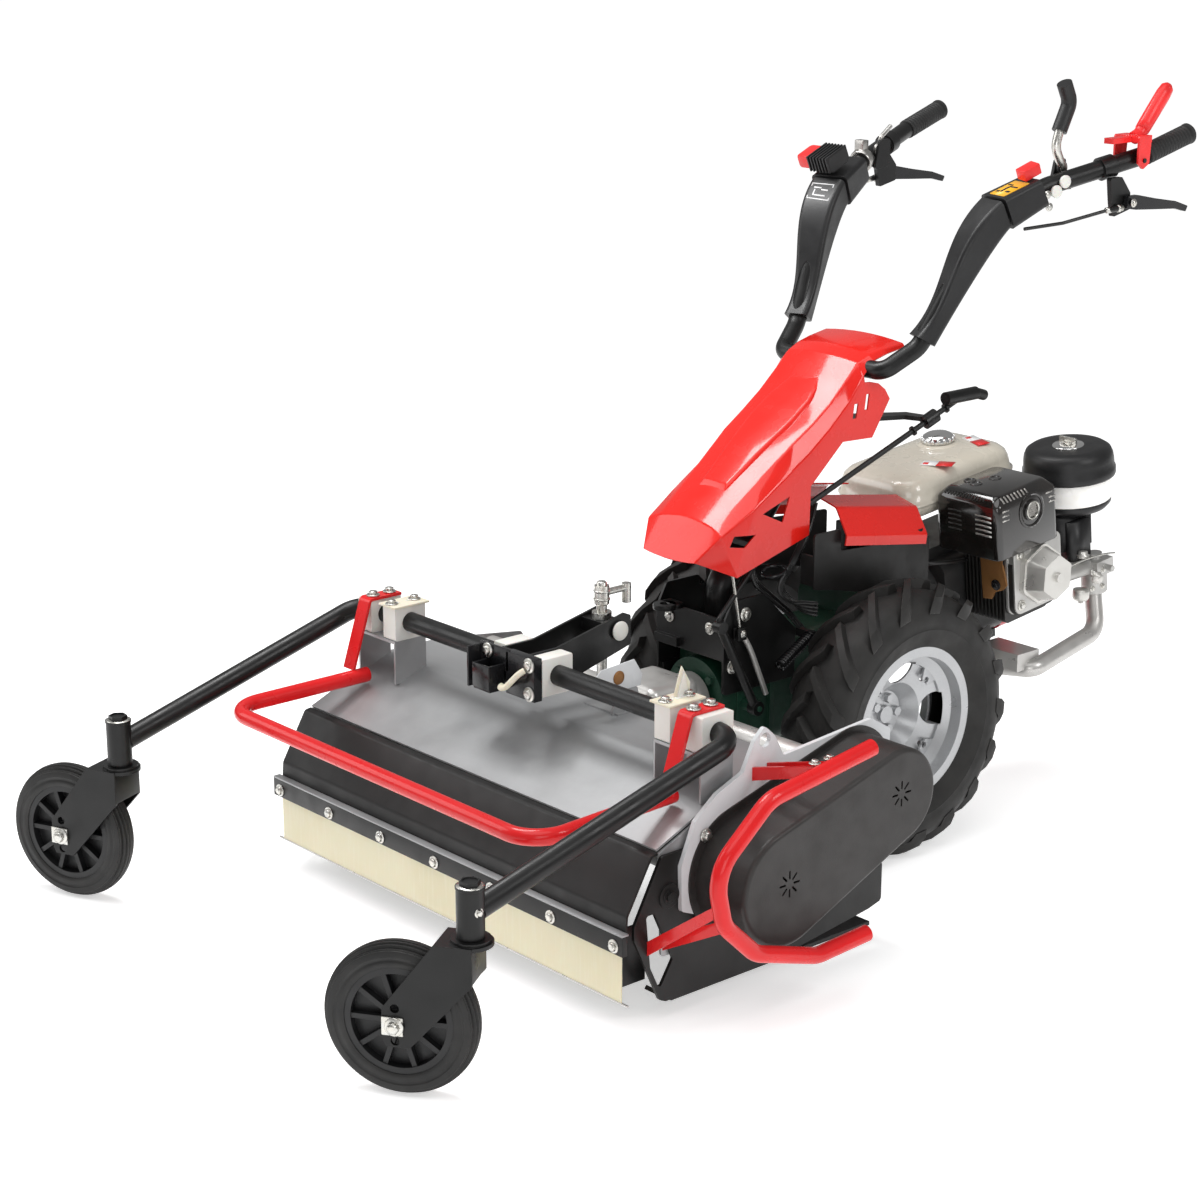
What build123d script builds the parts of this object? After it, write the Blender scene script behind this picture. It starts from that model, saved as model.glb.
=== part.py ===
"""Walk-behind brush mower: a two-wheel tractor that pushes a flail deck on two front casters.

Millimetres, +Z up. The machine drives towards -Y, and its left side is +X.
Sizes are laid out from a datum on the ground under the middle of the drive axle. DATUM carries
that datum into the frame, whose origin is the bottom centre of the whole machine's box.
"""
from build123d import *
import os

os.makedirs("parts", exist_ok=True)

# ---- driving dimensions -------------------------------------------------------------------
DATUM = Location((28.3, 333.0, 0.0))       # the drive axle's foot, seen from the origin
LEFT, RIGHT = 1, -1
SIDES = ((LEFT, "left"), (RIGHT, "right"))
RUN = 0.06                               # radial running clearance of a shaft in its bore
GAP = 0.4                                # between faces that turn or slide past each other

WHEEL_R = 255.0                          # agricultural tyre, 5.0-10
TYRE_HALF = 65.0
TRACK_HALF = 215.0                       # centre of a drive tyre from the centreline
BEAD_R = 127.0
FLANGE_R = 144.0
AXLE_R = 20.0

CASTER_R = 120.0
CASTER_HALF = 22.0
CASTER_TRAIL = 106.0                     # wheel axle behind the swivel axis
CASTER_TURNED = {LEFT: 56.0, RIGHT: 67.0}  # where the two casters stand, degrees
POST_X, POST_Y = 482.0, -1180.0
POST_BOTTOM, POST_TOP = 257.0, 332.0
POST_R, STEM_R = 21.0, 12.0

CROSS_Y, CROSS_Z, CROSS_R = -665.0, 440.0, 17.5
BLOCKS = ((340.0, 376.0), (412.0, 450.0))  # the pivot blocks' X ranges, per side

DECK_HALF = 462.0                        # outside of the deck's end plates
SHEET = 4.0
ROTOR_Y, ROTOR_Z, KNIFE_TIP = -640.0, 216.0, 112.0
DRIVE_Y, DRIVE_Z = -391.0, 305.0         # the deck's cross shaft
ROTOR_PULLEY_R, DRIVE_PULLEY_R, BELT_T = 72.0, 54.0, 9.0
PULLEY_X0, PULLEY_X1 = 500.0, 528.0
BACKPLATE_X = 476.0                      # outside of the belt guard's backplate
GUARD_X = 588.0                          # outside of the belt guard
GUARD_BAR_X, BAR_PIPE_R = 622.0, 13.5

ENGINE = Location((0.0, 132.0, 365.0), (7.0, 0, 0))   # crankshaft axis, pitched nose down
SWING_Y = -235.0                         # the steering column's upright axis
BAR_Y, BAR_Z, BAR_R = 36.0, 868.0, 16.5  # the handlebar's height pivot


def write(shape, name, place=Location()):
    """Exports one named sub-part, carried from where it is drawn to its place in the frame."""
    placed = DATUM * place * shape
    placed.label = name
    export_step(placed, f"parts/{name}.step")


def block(x0, x1, y0, y1, z0, z1, mode=Mode.ADD):
    """A block given by its six faces."""
    with Locations(((x0 + x1) / 2, (y0 + y1) / 2, (z0 + z1) / 2)):
        Box(x1 - x0, y1 - y0, z1 - z0, mode=mode)


def bar(start, end, radius, mode=Mode.ADD):
    """A straight round bar between two points."""
    axis = Vector(*end) - Vector(*start)
    with BuildSketch(Plane(origin=start, z_dir=axis)) as section:
        Circle(radius)
    extrude(section.sketch, amount=axis.length, mode=mode)


def ring(start, end, radius, bore, mode=Mode.ADD):
    """A straight round bar with a hole along it."""
    axis = Vector(*end) - Vector(*start)
    with BuildSketch(Plane(origin=start, z_dir=axis)) as section:
        Circle(radius)
        Circle(bore, mode=Mode.SUBTRACT)
    extrude(section.sketch, amount=axis.length, mode=mode)


def pipe(points, radius, bends, mode=Mode.ADD):
    """A round bar along straight runs that are joined by arcs."""
    with BuildLine() as route:
        FilletPolyline(*points, radius=bends)
    with BuildSketch(Plane(origin=route.line @ 0, z_dir=route.line % 0)) as section:
        Circle(radius)
    sweep(section.sketch, path=route.line, mode=mode)


def plate(plane, outline, thickness, rounding=0.0, mode=Mode.ADD):
    """A flat plate with a straight-edged outline, its corners rounded alike."""
    with BuildSketch(plane) as section:
        with BuildLine():
            Polyline(*outline, close=True)
        make_face()
        if rounding:
            fillet(section.vertices(), rounding)
    extrude(section.sketch, amount=thickness, mode=mode)


def bent_strip(plane, points, bends, thickness, width):
    """Bent sheet metal: an open line thickened, and run along the plane's normal."""
    with BuildSketch(plane) as section:
        with BuildLine() as line:
            FilletPolyline(*points, radius=bends)
        trace(line.line, thickness)
    extrude(section.sketch, amount=width)


def hex_head(point, direction, across=8.0, height=6.0):
    """A hexagon head on its washer, standing on a face."""
    with BuildSketch(Plane(origin=point, z_dir=direction)) as washer:
        Circle(across * 1.35)
    extrude(washer.sketch, amount=1.8)
    with BuildSketch(Plane(origin=point, z_dir=direction)) as head:
        RegularPolygon(across, 6)
    extrude(head.sketch, amount=height)


# ---- drive wheels -------------------------------------------------------------------------
with BuildPart() as drive_tyre:
    with BuildSketch(Plane.XY):
        with BuildLine():
            Polyline((38, 146), (38, 128.5), (44, 128.5), (44, 146))
            ThreePointArc((44, 146), (TYRE_HALF, 190), (58, 234))
            ThreePointArc((58, 234), (0, WHEEL_R), (-58, 234))
            ThreePointArc((-58, 234), (-TYRE_HALF, 190), (-44, 146))
            Polyline((-44, 146), (-44, 128.5), (-38, 128.5), (-38, 146))
            ThreePointArc((-38, 146), (-55, 188), (-48, 222))
            ThreePointArc((-48, 222), (0, WHEEL_R - 16), (48, 222))
            ThreePointArc((48, 222), (55, 188), (38, 146))
        make_face()
    revolve(axis=Axis.X)

with BuildPart() as drive_rim:
    with BuildSketch(Plane.XY):                       # the barrel with its two flanges
        with BuildLine():
            Polyline(
                (-48, FLANGE_R), (-44.4, FLANGE_R), (-44.4, BEAD_R), (-24, 124), (-14, 106),
                (14, 106), (24, 124), (44.4, BEAD_R), (44.4, FLANGE_R), (48, FLANGE_R),
                (48, 123.4), (26, 120.4), (16, 102.4), (-16, 102.4), (-26, 120.4), (-48, 123.4),
                close=True,
            )
        make_face()
    revolve(axis=Axis.X)
    with BuildSketch(Plane.XY):                       # the dished centre disc
        with BuildLine():
            Polyline(
                (-34, 0), (-34, 46), (-6, 66), (6, 104), (10, 104), (-2, 64), (-30, 43), (-30, 0),
                close=True,
            )
        make_face()
    revolve(axis=Axis.X)
    with BuildSketch(Plane.YZ.offset(-12)):           # scallops between the disc's four arms
        with PolarLocations(96, 4):
            Circle(31)
    extrude(amount=30, mode=Mode.SUBTRACT)
    with BuildSketch(Plane.YZ.offset(11)):            # four clamp lugs inside the barrel
        with PolarLocations(94, 4, start_angle=45):
            Trapezoid(46, 22, 60, rotation=90)
    extrude(amount=5)
    with BuildSketch(Plane.YZ):
        with PolarLocations(88, 4, start_angle=45):
            Circle(5.5)
    extrude(amount=24, mode=Mode.SUBTRACT)
    bar((-80, 0, 0), (-30, 0, 0), 38)
    bar((-120, 0, 0), (-80, 0, 0), AXLE_R)
    with BuildSketch(Plane.YZ.offset(-30)):           # wheel bolts and the hub cap
        with PolarLocations(30, 5):
            RegularPolygon(9, 6)
        Circle(16)
    extrude(amount=9)

for side, word in SIDES:
    wheel_place = Location((side * TRACK_HALF, 0, WHEEL_R), (0, 0, 0 if side == LEFT else 180))
    write(drive_tyre.part, f"{word}_drive_tyre", wheel_place)
    write(drive_rim.part, f"{word}_drive_rim", wheel_place)

# ---- gearbox and frame --------------------------------------------------------------------
PTO_Z, PTO_FLANGE_Y, PTO_R = 305.0, -292.0, 30.0
BOSS_TOP, PIN_R = 404.0, 15.0
BOLT_RING = 56.0
ROCKER_X, ROCKER_FOOT, PIVOT_PIN_R = 106.0, (-245.0, 300.0), 5.0
with BuildPart() as gearbox_housing:
    block(-75, 75, -260, 70, 205, 395)
    fillet(gearbox_housing.edges().filter_by(Axis.Y), 34)
    bar((0, -250, PTO_Z), (0, PTO_FLANGE_Y, PTO_Z), 72)     # implement flange, facing the deck
    bar((-132, 0, WHEEL_R), (132, 0, WHEEL_R), 46)          # axle tubes
    for side in (LEFT, RIGHT):
        bar((side * 120, 0, WHEEL_R), (side * 132, 0, WHEEL_R), 62)
    for x in (-48, 0, 48):                                  # stiffening ribs underneath
        block(x - 4, x + 4, -240, 50, 199, 212)
    for y in (-180, -60):                                   # ribs on both flanks
        block(-81, 81, y - 5, y + 5, 235, 360)
    with BuildSketch(Plane.XZ.offset(-60)) as bell:         # bell housing towards the engine
        with Locations((0, 360)):
            RectangleRounded(190, 176, 40)
    extrude(bell.sketch, amount=-52)
    bar((0, SWING_Y, 380), (0, SWING_Y, BOSS_TOP), 36)      # seat of the steering column
    bar((0, SWING_Y, 350), (0, SWING_Y, BOSS_TOP), PIN_R, mode=Mode.SUBTRACT)
    bar((0, PTO_FLANGE_Y, PTO_Z), (0, -232, PTO_Z), PTO_R, mode=Mode.SUBTRACT)
    bar((-132, 0, WHEEL_R), (132, 0, WHEEL_R), AXLE_R + RUN, mode=Mode.SUBTRACT)
    with BuildSketch(Plane.XZ.offset(-PTO_FLANGE_Y)) as studs:
        with Locations((0, PTO_Z)):
            with PolarLocations(BOLT_RING, 4, start_angle=45):
                RegularPolygon(8, 6)
    extrude(studs.sketch, amount=7)
    bar((60, *ROCKER_FOOT), (ROCKER_X - 9 - GAP, *ROCKER_FOOT), 10)
    bar((60, *ROCKER_FOOT), (ROCKER_X + 12, *ROCKER_FOOT), PIVOT_PIN_R)
write(gearbox_housing.part, "gearbox_housing")

FRAME_X = 82.0                                              # inside of the black side plates
with BuildPart() as front_frame:
    side_plate = [(-306, 330), (-306, 462), (-286, 498), (-210, 498), (-130, 420), (-130, 330)]
    plate(Plane.YZ.offset(FRAME_X), side_plate, 5, 8)
    for y, z in ((-286, 380), (-256, 470), (-160, 362)):
        hex_head((FRAME_X + 5, y, z), (1, 0, 0), 6, 4)
    mirror(about=Plane.YZ)
    block(-FRAME_X, FRAME_X, -306, -301, 392, 468)          # front tie, above the flange
    for x in (-52, 52):
        hex_head((x, -306, 446), (0, -1, 0), 7, 5)
    block(-FRAME_X, -24, -316, -301, 396, 412)
    for side in (LEFT, RIGHT):                              # feet bolted to the housing
        plate(
            Plane.YZ.offset(side * 78.5 - 3.5), [(-300, 332), (-300, 352), (-190, 352), (-190, 332)], 7
        )
write(front_frame.part, "front_frame")

with BuildPart() as mudguards:
    guard_outline = [(-132, 500), (-132, 600), (-66, 600), (-66, 560), (168, 548), (168, 430), (-86, 492)]
    plate(Plane.YZ.offset(128), guard_outline, 4, 6)
    block(98, 128, 150, 156, 420, 470)
    block(98, 128, -132, -126, 505, 560)
    mirror(about=Plane.YZ)
write(mudguards.part, "mudguards")

CAP_TILT = -9.0
with BuildPart() as fender_caps:
    bent_strip(Plane.XZ, [(60, 34), (112, 22), (146, -22), (146, -40)], [10, 6], 3, 214)
    mirror(about=Plane.YZ)
write(fender_caps.part, "fender_caps", Location((0, 148, 579), (CAP_TILT, 0, 0)))

# The rocker that the gear rod works: a bent lever on a pin at the gearbox's left flank.
with BuildPart() as selector_rocker:
    bar((ROCKER_X - 9, *ROCKER_FOOT), (ROCKER_X + 9, *ROCKER_FOOT), 13)
    bar((ROCKER_X, *ROCKER_FOOT), (ROCKER_X, -334, 466), 8)
    bar((ROCKER_X - 9, -334, 466), (ROCKER_X + 9, -334, 466), 11)
    pipe([(ROCKER_X, -334, 466), (ROCKER_X, -338, 480), (ROCKER_X - 28, -216, 560)], 4.5, 5)
    bar((ROCKER_X - 9, *ROCKER_FOOT), (ROCKER_X + 9, *ROCKER_FOOT), PIVOT_PIN_R + RUN, mode=Mode.SUBTRACT)
write(selector_rocker.part, "selector_rocker")

# ---- engine, drawn about its crankshaft axis --------------------------------------------------
CASE_Y0, CASE_Y1 = 130.0, 290.0
HEAD_Y, HEAD_Z, HEAD_X = 254.0, 62.0, 216.0
with BuildPart() as engine_crankcase:
    with BuildSketch(Plane.XZ.offset(0)) as throat:             # clutch housing, a short cone
        Circle(70)
    with BuildSketch(Plane.XZ.offset(-CASE_Y0)) as mouth:
        Circle(92)
    loft([throat.sketch.faces()[0], mouth.sketch.faces()[0]])
    with BuildSketch(Plane.XZ.offset(-CASE_Y0)) as case:
        RectangleRounded(196, 180, 26)
    extrude(case.sketch, amount=CASE_Y0 - CASE_Y1)
    block(-88, 88, 150, 276, -104, -88)                         # feet
    block(-60, 60, CASE_Y0, CASE_Y1, 80, 112)                   # cowl under the tank
write(engine_crankcase.part, "engine_crankcase", ENGINE)

FIN_COUNT, FIN_PITCH, FIN_T = 11, 9.0, 3.4
with BuildPart() as engine_cylinder:
    with BuildSketch(Plane.YZ.offset(98)) as barrel:
        with Locations((HEAD_Y - 12, HEAD_Z - 20)):
            RectangleRounded(88, 96, 14)
    extrude(barrel.sketch, amount=HEAD_X - 98)
    with BuildSketch(Plane.YZ.offset(104)) as fin:
        with Locations((HEAD_Y - 12, HEAD_Z - 20)):
            RectangleRounded(122, 132, 10)
    for index in range(FIN_COUNT):
        extrude(fin.sketch.moved(Location((index * FIN_PITCH, 0, 0))), amount=FIN_T)
    with BuildSketch(Plane.YZ.offset(HEAD_X - 12)) as head:
        with Locations((HEAD_Y - 6, HEAD_Z - 10)):
            RectangleRounded(124, 124, 24)
    extrude(head.sketch, amount=12)
write(engine_cylinder.part, "engine_cylinder", ENGINE)

with BuildPart() as valve_cover:
    with BuildSketch(Plane.YZ.offset(HEAD_X)) as lower:
        with Locations(Location((HEAD_Y, HEAD_Z, 0), (0, 0, 20))):
            RegularPolygon(60, 6)
        fillet(lower.vertices(), 16)
    extrude(lower.sketch, amount=14)
    with BuildSketch(Plane.YZ.offset(HEAD_X + 14)) as upper:
        with Locations(Location((HEAD_Y, HEAD_Z, 0), (0, 0, 20))):
            RegularPolygon(55, 6)
        fillet(upper.vertices(), 16)
    extrude(upper.sketch, amount=36, taper=16)
    bar((HEAD_X + 50, HEAD_Y, HEAD_Z), (HEAD_X + 57, HEAD_Y, HEAD_Z), 9)
write(valve_cover.part, "valve_cover", ENGINE)

with BuildPart() as recoil_cover:
    with BuildSketch(Plane.XZ.offset(-CASE_Y1)) as fan_case:
        Circle(102)
        with Locations((0, -42)):
            RectangleRounded(180, 110, 20)
    extrude(fan_case.sketch, amount=-46)
    with BuildSketch(Plane.XZ.offset(-CASE_Y1 - 46)) as starter:
        Circle(84)
    extrude(starter.sketch, amount=-26, taper=12)
    bar((0, CASE_Y1, 0), (0, CASE_Y1 + 42, 0), 90, mode=Mode.SUBTRACT)
    with BuildSketch(Plane.XZ.offset(-CASE_Y1 - 40)) as slots:   # cooling slots round the starter
        with PolarLocations(56, 12):
            SlotOverall(26, 6)
    extrude(slots.sketch, amount=-60, mode=Mode.SUBTRACT)
    bar((0, 355, -78), (0, 375, -78), 7)                         # rope bush
    bar((0, 340, -78), (0, 380, -78), 3.2, mode=Mode.SUBTRACT)
write(recoil_cover.part, "recoil_cover", ENGINE)

TANK = (-130.0, 72.0, 85.0, 385.0, 182.0, 256.0)
CAP_AT = (-45.0, 285.0)
with BuildPart() as fuel_tank:
    block(*TANK)
    fillet(fuel_tank.edges().filter_by(Axis.Z), 38)
    fillet(fuel_tank.edges().group_by(Axis.Z)[-1], 26)
    fillet(fuel_tank.edges().group_by(Axis.Z)[0], 12)
    bar((*CAP_AT, 250), (*CAP_AT, 264), 24)
    block(-58, 52, 140, 280, 166, 186)                           # foot on the engine bracket
write(fuel_tank.part, "fuel_tank", ENGINE)

with BuildPart() as fuel_cap:
    bar((*CAP_AT, 264 + GAP), (*CAP_AT, 282), 29)
    with BuildSketch(Plane.XY.offset(264)) as grips:
        with Locations((*CAP_AT, 0)):
            with PolarLocations(29, 12):
                Circle(3)
    extrude(grips.sketch, amount=20, mode=Mode.SUBTRACT)
    fillet(fuel_cap.edges().group_by(Axis.Z)[-1], 3)
write(fuel_cap.part, "fuel_cap", ENGINE)

GUARD_PLAN = [(78, 135), (230, 135), (230, 304), (78, 304)]
GUARD_Z0, GUARD_Z1 = 121.0, 240.0
GUARD_SHEET = 2.5
GUARD_FRONT = Plane(origin=(154, 135, 0), x_dir=(1, 0, 0), z_dir=(0, -1, 0))
INNER_PLAN = [(80.5, 137.5), (227.5, 137.5), (227.5, 301.5), (80.5, 301.5)]
with BuildPart() as muffler_guard:
    plate(Plane.XY.offset(GUARD_Z0), GUARD_PLAN, GUARD_Z1 - GUARD_Z0, 12)
    fillet(muffler_guard.edges().group_by(Axis.Z)[-1], 5)
    plate(
        Plane.XY.offset(GUARD_Z0), INNER_PLAN, GUARD_Z1 - GUARD_Z0 - GUARD_SHEET, 9.5, mode=Mode.SUBTRACT
    )
    for centre, length, rows in ((174, 22, 6), (284, 20, 4)):    # slots in the outer side
        with BuildSketch(Plane.YZ.offset(220)) as slots:
            with Locations((centre, 178)):
                with GridLocations(0, 15, 1, rows):
                    SlotOverall(length, 5)
        extrude(slots.sketch, amount=20, mode=Mode.SUBTRACT)
    bar((220, 228, 196), (235, 228, 196), 21, mode=Mode.SUBTRACT)
    with BuildSketch(GUARD_FRONT.offset(-8)) as slots:           # two columns on the front face
        with Locations((0, 172)):
            with GridLocations(68, 13, 2, 7):
                SlotOverall(36, 5)
    extrude(slots.sketch, amount=20, mode=Mode.SUBTRACT)
write(muffler_guard.part, "muffler_guard", ENGINE)

with BuildPart() as muffler:
    plate(Plane.XY.offset(130), [(92, 150), (212, 150), (212, 290), (92, 290)], 92, 14)
    hollow = [(98, 156), (206, 156), (206, 284), (98, 284)]
    plate(Plane.XY.offset(135), hollow, 82, 10, mode=Mode.SUBTRACT)
    ring((212, 228, 196), (229, 228, 196), 17, 12.5)
    bar((150, 250, 114.5), (150, 250, 130), 16)                    # exhaust port
write(muffler.part, "muffler", ENGINE)

CLEANER = (150.0, 434.0)
with BuildPart() as air_cleaner_body:
    bar((*CLEANER, 128), (*CLEANER, 150), 86)
    with BuildSketch(Plane.XY.offset(150)) as neck:
        with Locations((*CLEANER, 0)):
            Circle(82)
    extrude(neck.sketch, amount=14, taper=8)
    pipe([(150, 434, 140), (150, 434, 92), (196, 434, 62)], 27, 20)      # elbow to the carburettor
    block(120, 140, 470, 484, 34, 130)                                   # bracket
    bar((*CLEANER, 160), (*CLEANER, 206), 78)
write(air_cleaner_body.part, "air_cleaner_body", ENGINE)

with BuildPart() as air_cleaner_cap:
    bar((*CLEANER, 206), (*CLEANER, 214), 88)
    bar((*CLEANER, 214), (*CLEANER, 246), 84)
    fillet(air_cleaner_cap.edges().group_by(Axis.Z)[-1], 14)
    bar((*CLEANER, 246), (*CLEANER, 249), 26)
write(air_cleaner_cap.part, "air_cleaner_cap", ENGINE)

with BuildPart() as wing_nut:
    bar((*CLEANER, 249 + GAP), (*CLEANER, 259), 7)
    block(130, 170, 432, 436, 252, 266)
    fillet(wing_nut.edges().filter_by(Axis.Y), 3)
write(wing_nut.part, "wing_nut", ENGINE)

with BuildPart() as carburettor:
    block(176, 232, 410, 458, 4, 34)
    bar((204, 434, -36), (204, 434, 4), 25)
    fillet(carburettor.edges().group_by(Axis.Z)[0], 6)
    bar((204, 313, 30), (204, 412, 22), 17)                              # manifold to the head
    bar((206, 434, 34), (206, 434, 44), 15)
    bar((232, 434, 20), (250, 434, 20), 6)
write(carburettor.part, "carburettor", ENGINE)

with BuildPart() as starter_grip:
    bar((0, 376, -78), (0, 383, -78), 10)
    bar((0, 350, -78), (0, 377, -78), 3.1)
    with BuildSketch(Plane.XZ.offset(-383)) as grip:
        with Locations((0, -78)):
            SlotOverall(58, 20)
    extrude(grip.sketch, amount=-17)
    fillet(starter_grip.edges().group_by(Axis.Y)[-1], 5)
write(starter_grip.part, "starter_grip", ENGINE)

BUMPER_R = 17.0
with BuildPart() as engine_bumper:
    bumper_route = [(150, 372, 258), (206, 392, 262), (200, 584, 298), (158, 612, 412)]
    pipe(bumper_route, BUMPER_R, [24, 42])
    block(100, 200, 352, 414, 262, 296)
    block(-70, 130, 340, 392, 240, 262)
write(engine_bumper.part, "engine_bumper")

# ---- steering column, hood and gear rod ------------------------------------------------------
HINGE_HALF = 46.0
HUB_R = 20.0
ROD_TOP, ROD_END, ROD_R = Vector(147, 222, 800), Vector(78, -185, 608), 5.0
ROD_DIR = (ROD_TOP - ROD_END).normalized()
ROD_GUIDE = ROD_TOP - ROD_DIR * 76
HOOD_HALF, HOOD_SHEET = 103.0, 3.0
with BuildPart() as steering_column:
    bar((0, SWING_Y, BOSS_TOP - 46), (0, SWING_Y, BOSS_TOP + 6), PIN_R - RUN)
    bar((0, SWING_Y, BOSS_TOP + GAP), (0, SWING_Y, BOSS_TOP + 14), 60)
    pipe([(0, SWING_Y, BOSS_TOP + 8), (0, SWING_Y, 498), (0, BAR_Y - 10, BAR_Z - 46)], 26, 46)
    for side in (LEFT, RIGHT):                                           # cheeks of the height hinge
        x = side * HINGE_HALF
        outline = [
            (BAR_Y - 52, BAR_Z - 74), (BAR_Y + 2, BAR_Z - 84), (BAR_Y + 24, BAR_Z - 20),
            (BAR_Y + 14, BAR_Z + 14), (BAR_Y - 14, BAR_Z + 14), (BAR_Y - 30, BAR_Z - 20),
        ]
        plate(Plane.YZ.offset(x - 3), outline, 6, 8)
        bar((x - 6, BAR_Y, BAR_Z), (x + 6, BAR_Y, BAR_Z), HUB_R)
    block(-HINGE_HALF, HINGE_HALF, BAR_Y - 48, BAR_Y + 2, BAR_Z - 80, BAR_Z - 60)
    bar((-60, BAR_Y, BAR_Z), (60, BAR_Y, BAR_Z), BAR_R + RUN, mode=Mode.SUBTRACT)
    bracket = [(20, 20), (44, 20), (96, 128), (150, 148), (140, 164), (78, 152), (20, 62)]
    plate(Plane.XY.offset(ROD_GUIDE.Z - 4), bracket, 8, 3)               # bracket of the gear rod
    block(18, 46, 10, 40, ROD_GUIDE.Z - 4, BAR_Z - 62)
    bar(ROD_GUIDE - ROD_DIR * 14, ROD_GUIDE + ROD_DIR * 14, 13)
    bar(ROD_GUIDE - ROD_DIR * 60, ROD_GUIDE + ROD_DIR * 60, ROD_R + RUN, mode=Mode.SUBTRACT)
    block(HOOD_SHEET - HOOD_HALF, HOOD_HALF - HOOD_SHEET, -215, -193, 576, 586)   # hood stays
    block(HOOD_SHEET - HOOD_HALF, HOOD_HALF - HOOD_SHEET, -60, -38, 756, 764)
write(steering_column.part, "steering_column")

HOOD_TOP = [(-359, 576), (-317, 632), (-145, 757), (-58, 812), (16, 892), (118, 904)]
HOOD_EDGE = [
    (114, 898), (62, 890), (19, 884), (12, 846), (52, 842), (81, 819), (38, 745), (-37, 748),
    (-115, 680), (-117, 592), (-292, 553),
]

with BuildPart() as hood_hollow:
    with BuildSketch(Plane.YZ) as inside:
        with BuildLine():
            Polyline((-389, 536), *HOOD_TOP[1:], (180, 910.5), (180, 480), (-389, 480), close=True)
        make_face()
        offset(amount=-HOOD_SHEET, kind=Kind.INTERSECTION)
    extrude(inside.sketch, amount=HOOD_HALF - HOOD_SHEET, both=True)
with BuildPart() as hood:
    plate(Plane.YZ.offset(-HOOD_HALF), HOOD_TOP + HOOD_EDGE, 2 * HOOD_HALF)
    add(hood_hollow.part, mode=Mode.SUBTRACT)
    for side in (LEFT, RIGHT):                       # openings low in each side
        face = Plane.YZ.offset(side * (HOOD_HALF - 8))
        plate(face, [(-296, 619), (-248, 615), (-274, 596), (-306, 601)], side * 16, 3, mode=Mode.SUBTRACT)
        plate(face, [(-167, 670), (-232, 649), (-183, 626)], side * 16, 3, mode=Mode.SUBTRACT)
        for y, z in ((22, 812), (-8, 800)):
            plate(face, [(y - 6, z - 14), (y + 2, z - 14), (y + 6, z + 14), (y - 2, z + 14)], side * 16,
                  mode=Mode.SUBTRACT)
write(hood.part, "hood")

with BuildPart() as gear_rod:
    bar(ROD_END, ROD_TOP, ROD_R)
    for along in (36, 116):                                              # stop collars
        bar(ROD_TOP - ROD_DIR * along, ROD_TOP - ROD_DIR * (along + 4), 9)
    bar((147, 180, 803), (147, 262, 803), 12)
    bar((147, 262, 803), (147, 288, 795), 10)
    fillet(gear_rod.faces().sort_by(Axis.Y)[-1].edges(), 4)
write(gear_rod.part, "gear_rod")

# ---- handlebar and its controls -----------------------------------------------------------------
GRIP_R, GRIP_TUBE_R = 19.0, 12.5
GRIP_START, GRIP_END = Vector(289, 530, 1224), Vector(301, 640, 1256)
ARM_ROUTE = [
    (0, BAR_Y, BAR_Z), (126, BAR_Y, BAR_Z), (152, 98, 908), (198, 214, 1124), (228, 332, 1178),
    tuple(GRIP_START),
]
ARM_BENDS = [26, 50, 60, 110]
BRAKE_PIVOT, CLUTCH_PIVOT = (285, 485, 1144), (281, 505, 1218)
REVERSER_PIVOT, THROTTLE_PIVOT = (212, 386, 1206), (-212, 383, 1201)
PIVOT_PIN_R = 4.0
with BuildPart() as handlebar_tube:
    pipe(ARM_ROUTE, BAR_R, ARM_BENDS)
    bar(GRIP_START - (GRIP_END - GRIP_START) * 0.1, GRIP_END, GRIP_TUBE_R)
    bar((261, 440, 1203), (269, 466, 1209), 21)                       # clamp of the brake lever
    bracket = [(438, 1190), (470, 1190), (496, 1160), (496, 1130), (450, 1120), (444, 1150)]
    plate(Plane.YZ.offset(280), bracket, 10, 4)
    x, y, z = BRAKE_PIVOT
    bar((x, y, z), (x + 19, y, z), PIVOT_PIN_R)
    plate(Plane.YZ.offset(210), [(360, 1166), (398, 1170), (402, 1222), (374, 1222)], 6, 5)   # lever plate
    block(212, 238, 366, 392, 1170, 1182)
    mirror(about=Plane.YZ)
    x, y, z = CLUTCH_PIVOT
    bar((x - 31, y, z), (x + 31, y, z), PIVOT_PIN_R)                  # cross pin of the clutch lever
write(handlebar_tube.part, "handlebar_tube")

ARM_UP, ARM_BACK = Vector(46, 116, 216), Vector(30, 118, 54)
COVER_SECTIONS = (
    (Vector(154, 104, 920), ARM_UP, 46, 40),
    (Vector(180, 168, 1040), ARM_UP, 56, 46),
    (Vector(197, 212, 1118), ARM_UP + ARM_BACK * 1.2, 68, 54),
    (Vector(202, 232, 1138), ARM_BACK, 70, 54),
)
with BuildPart() as arm_route:
    pipe(ARM_ROUTE, BAR_R + 0.4, ARM_BENDS)


def cover_section(centre, direction, width, depth):
    """One cross-section of an arm cover, its width lying level."""
    level = Vector(0, 0, 1).cross(direction)
    with BuildSketch(Plane(origin=centre, x_dir=level, z_dir=direction)) as section:
        RectangleRounded(width, depth, 9)
    return section.sketch.faces()[0]


with BuildPart() as arm_covers:
    loft([cover_section(*section) for section in COVER_SECTIONS])
    loft([
        cover_section(Vector(203, 236, 1140), ARM_BACK, 76, 60),
        cover_section(Vector(222, 310, 1172), ARM_BACK, 68, 52),
    ])
    add(arm_route.part, mode=Mode.SUBTRACT)
    mirror(about=Plane.YZ)
write(arm_covers.part, "arm_covers")

with BuildPart() as grips:
    axis = (GRIP_END - GRIP_START).normalized()
    ring(GRIP_START + axis * 4, GRIP_END, GRIP_R, GRIP_TUBE_R)
    bar(GRIP_END, GRIP_END + axis * 5, GRIP_R)
    mirror(about=Plane.YZ)
write(grips.part, "grips")

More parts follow.
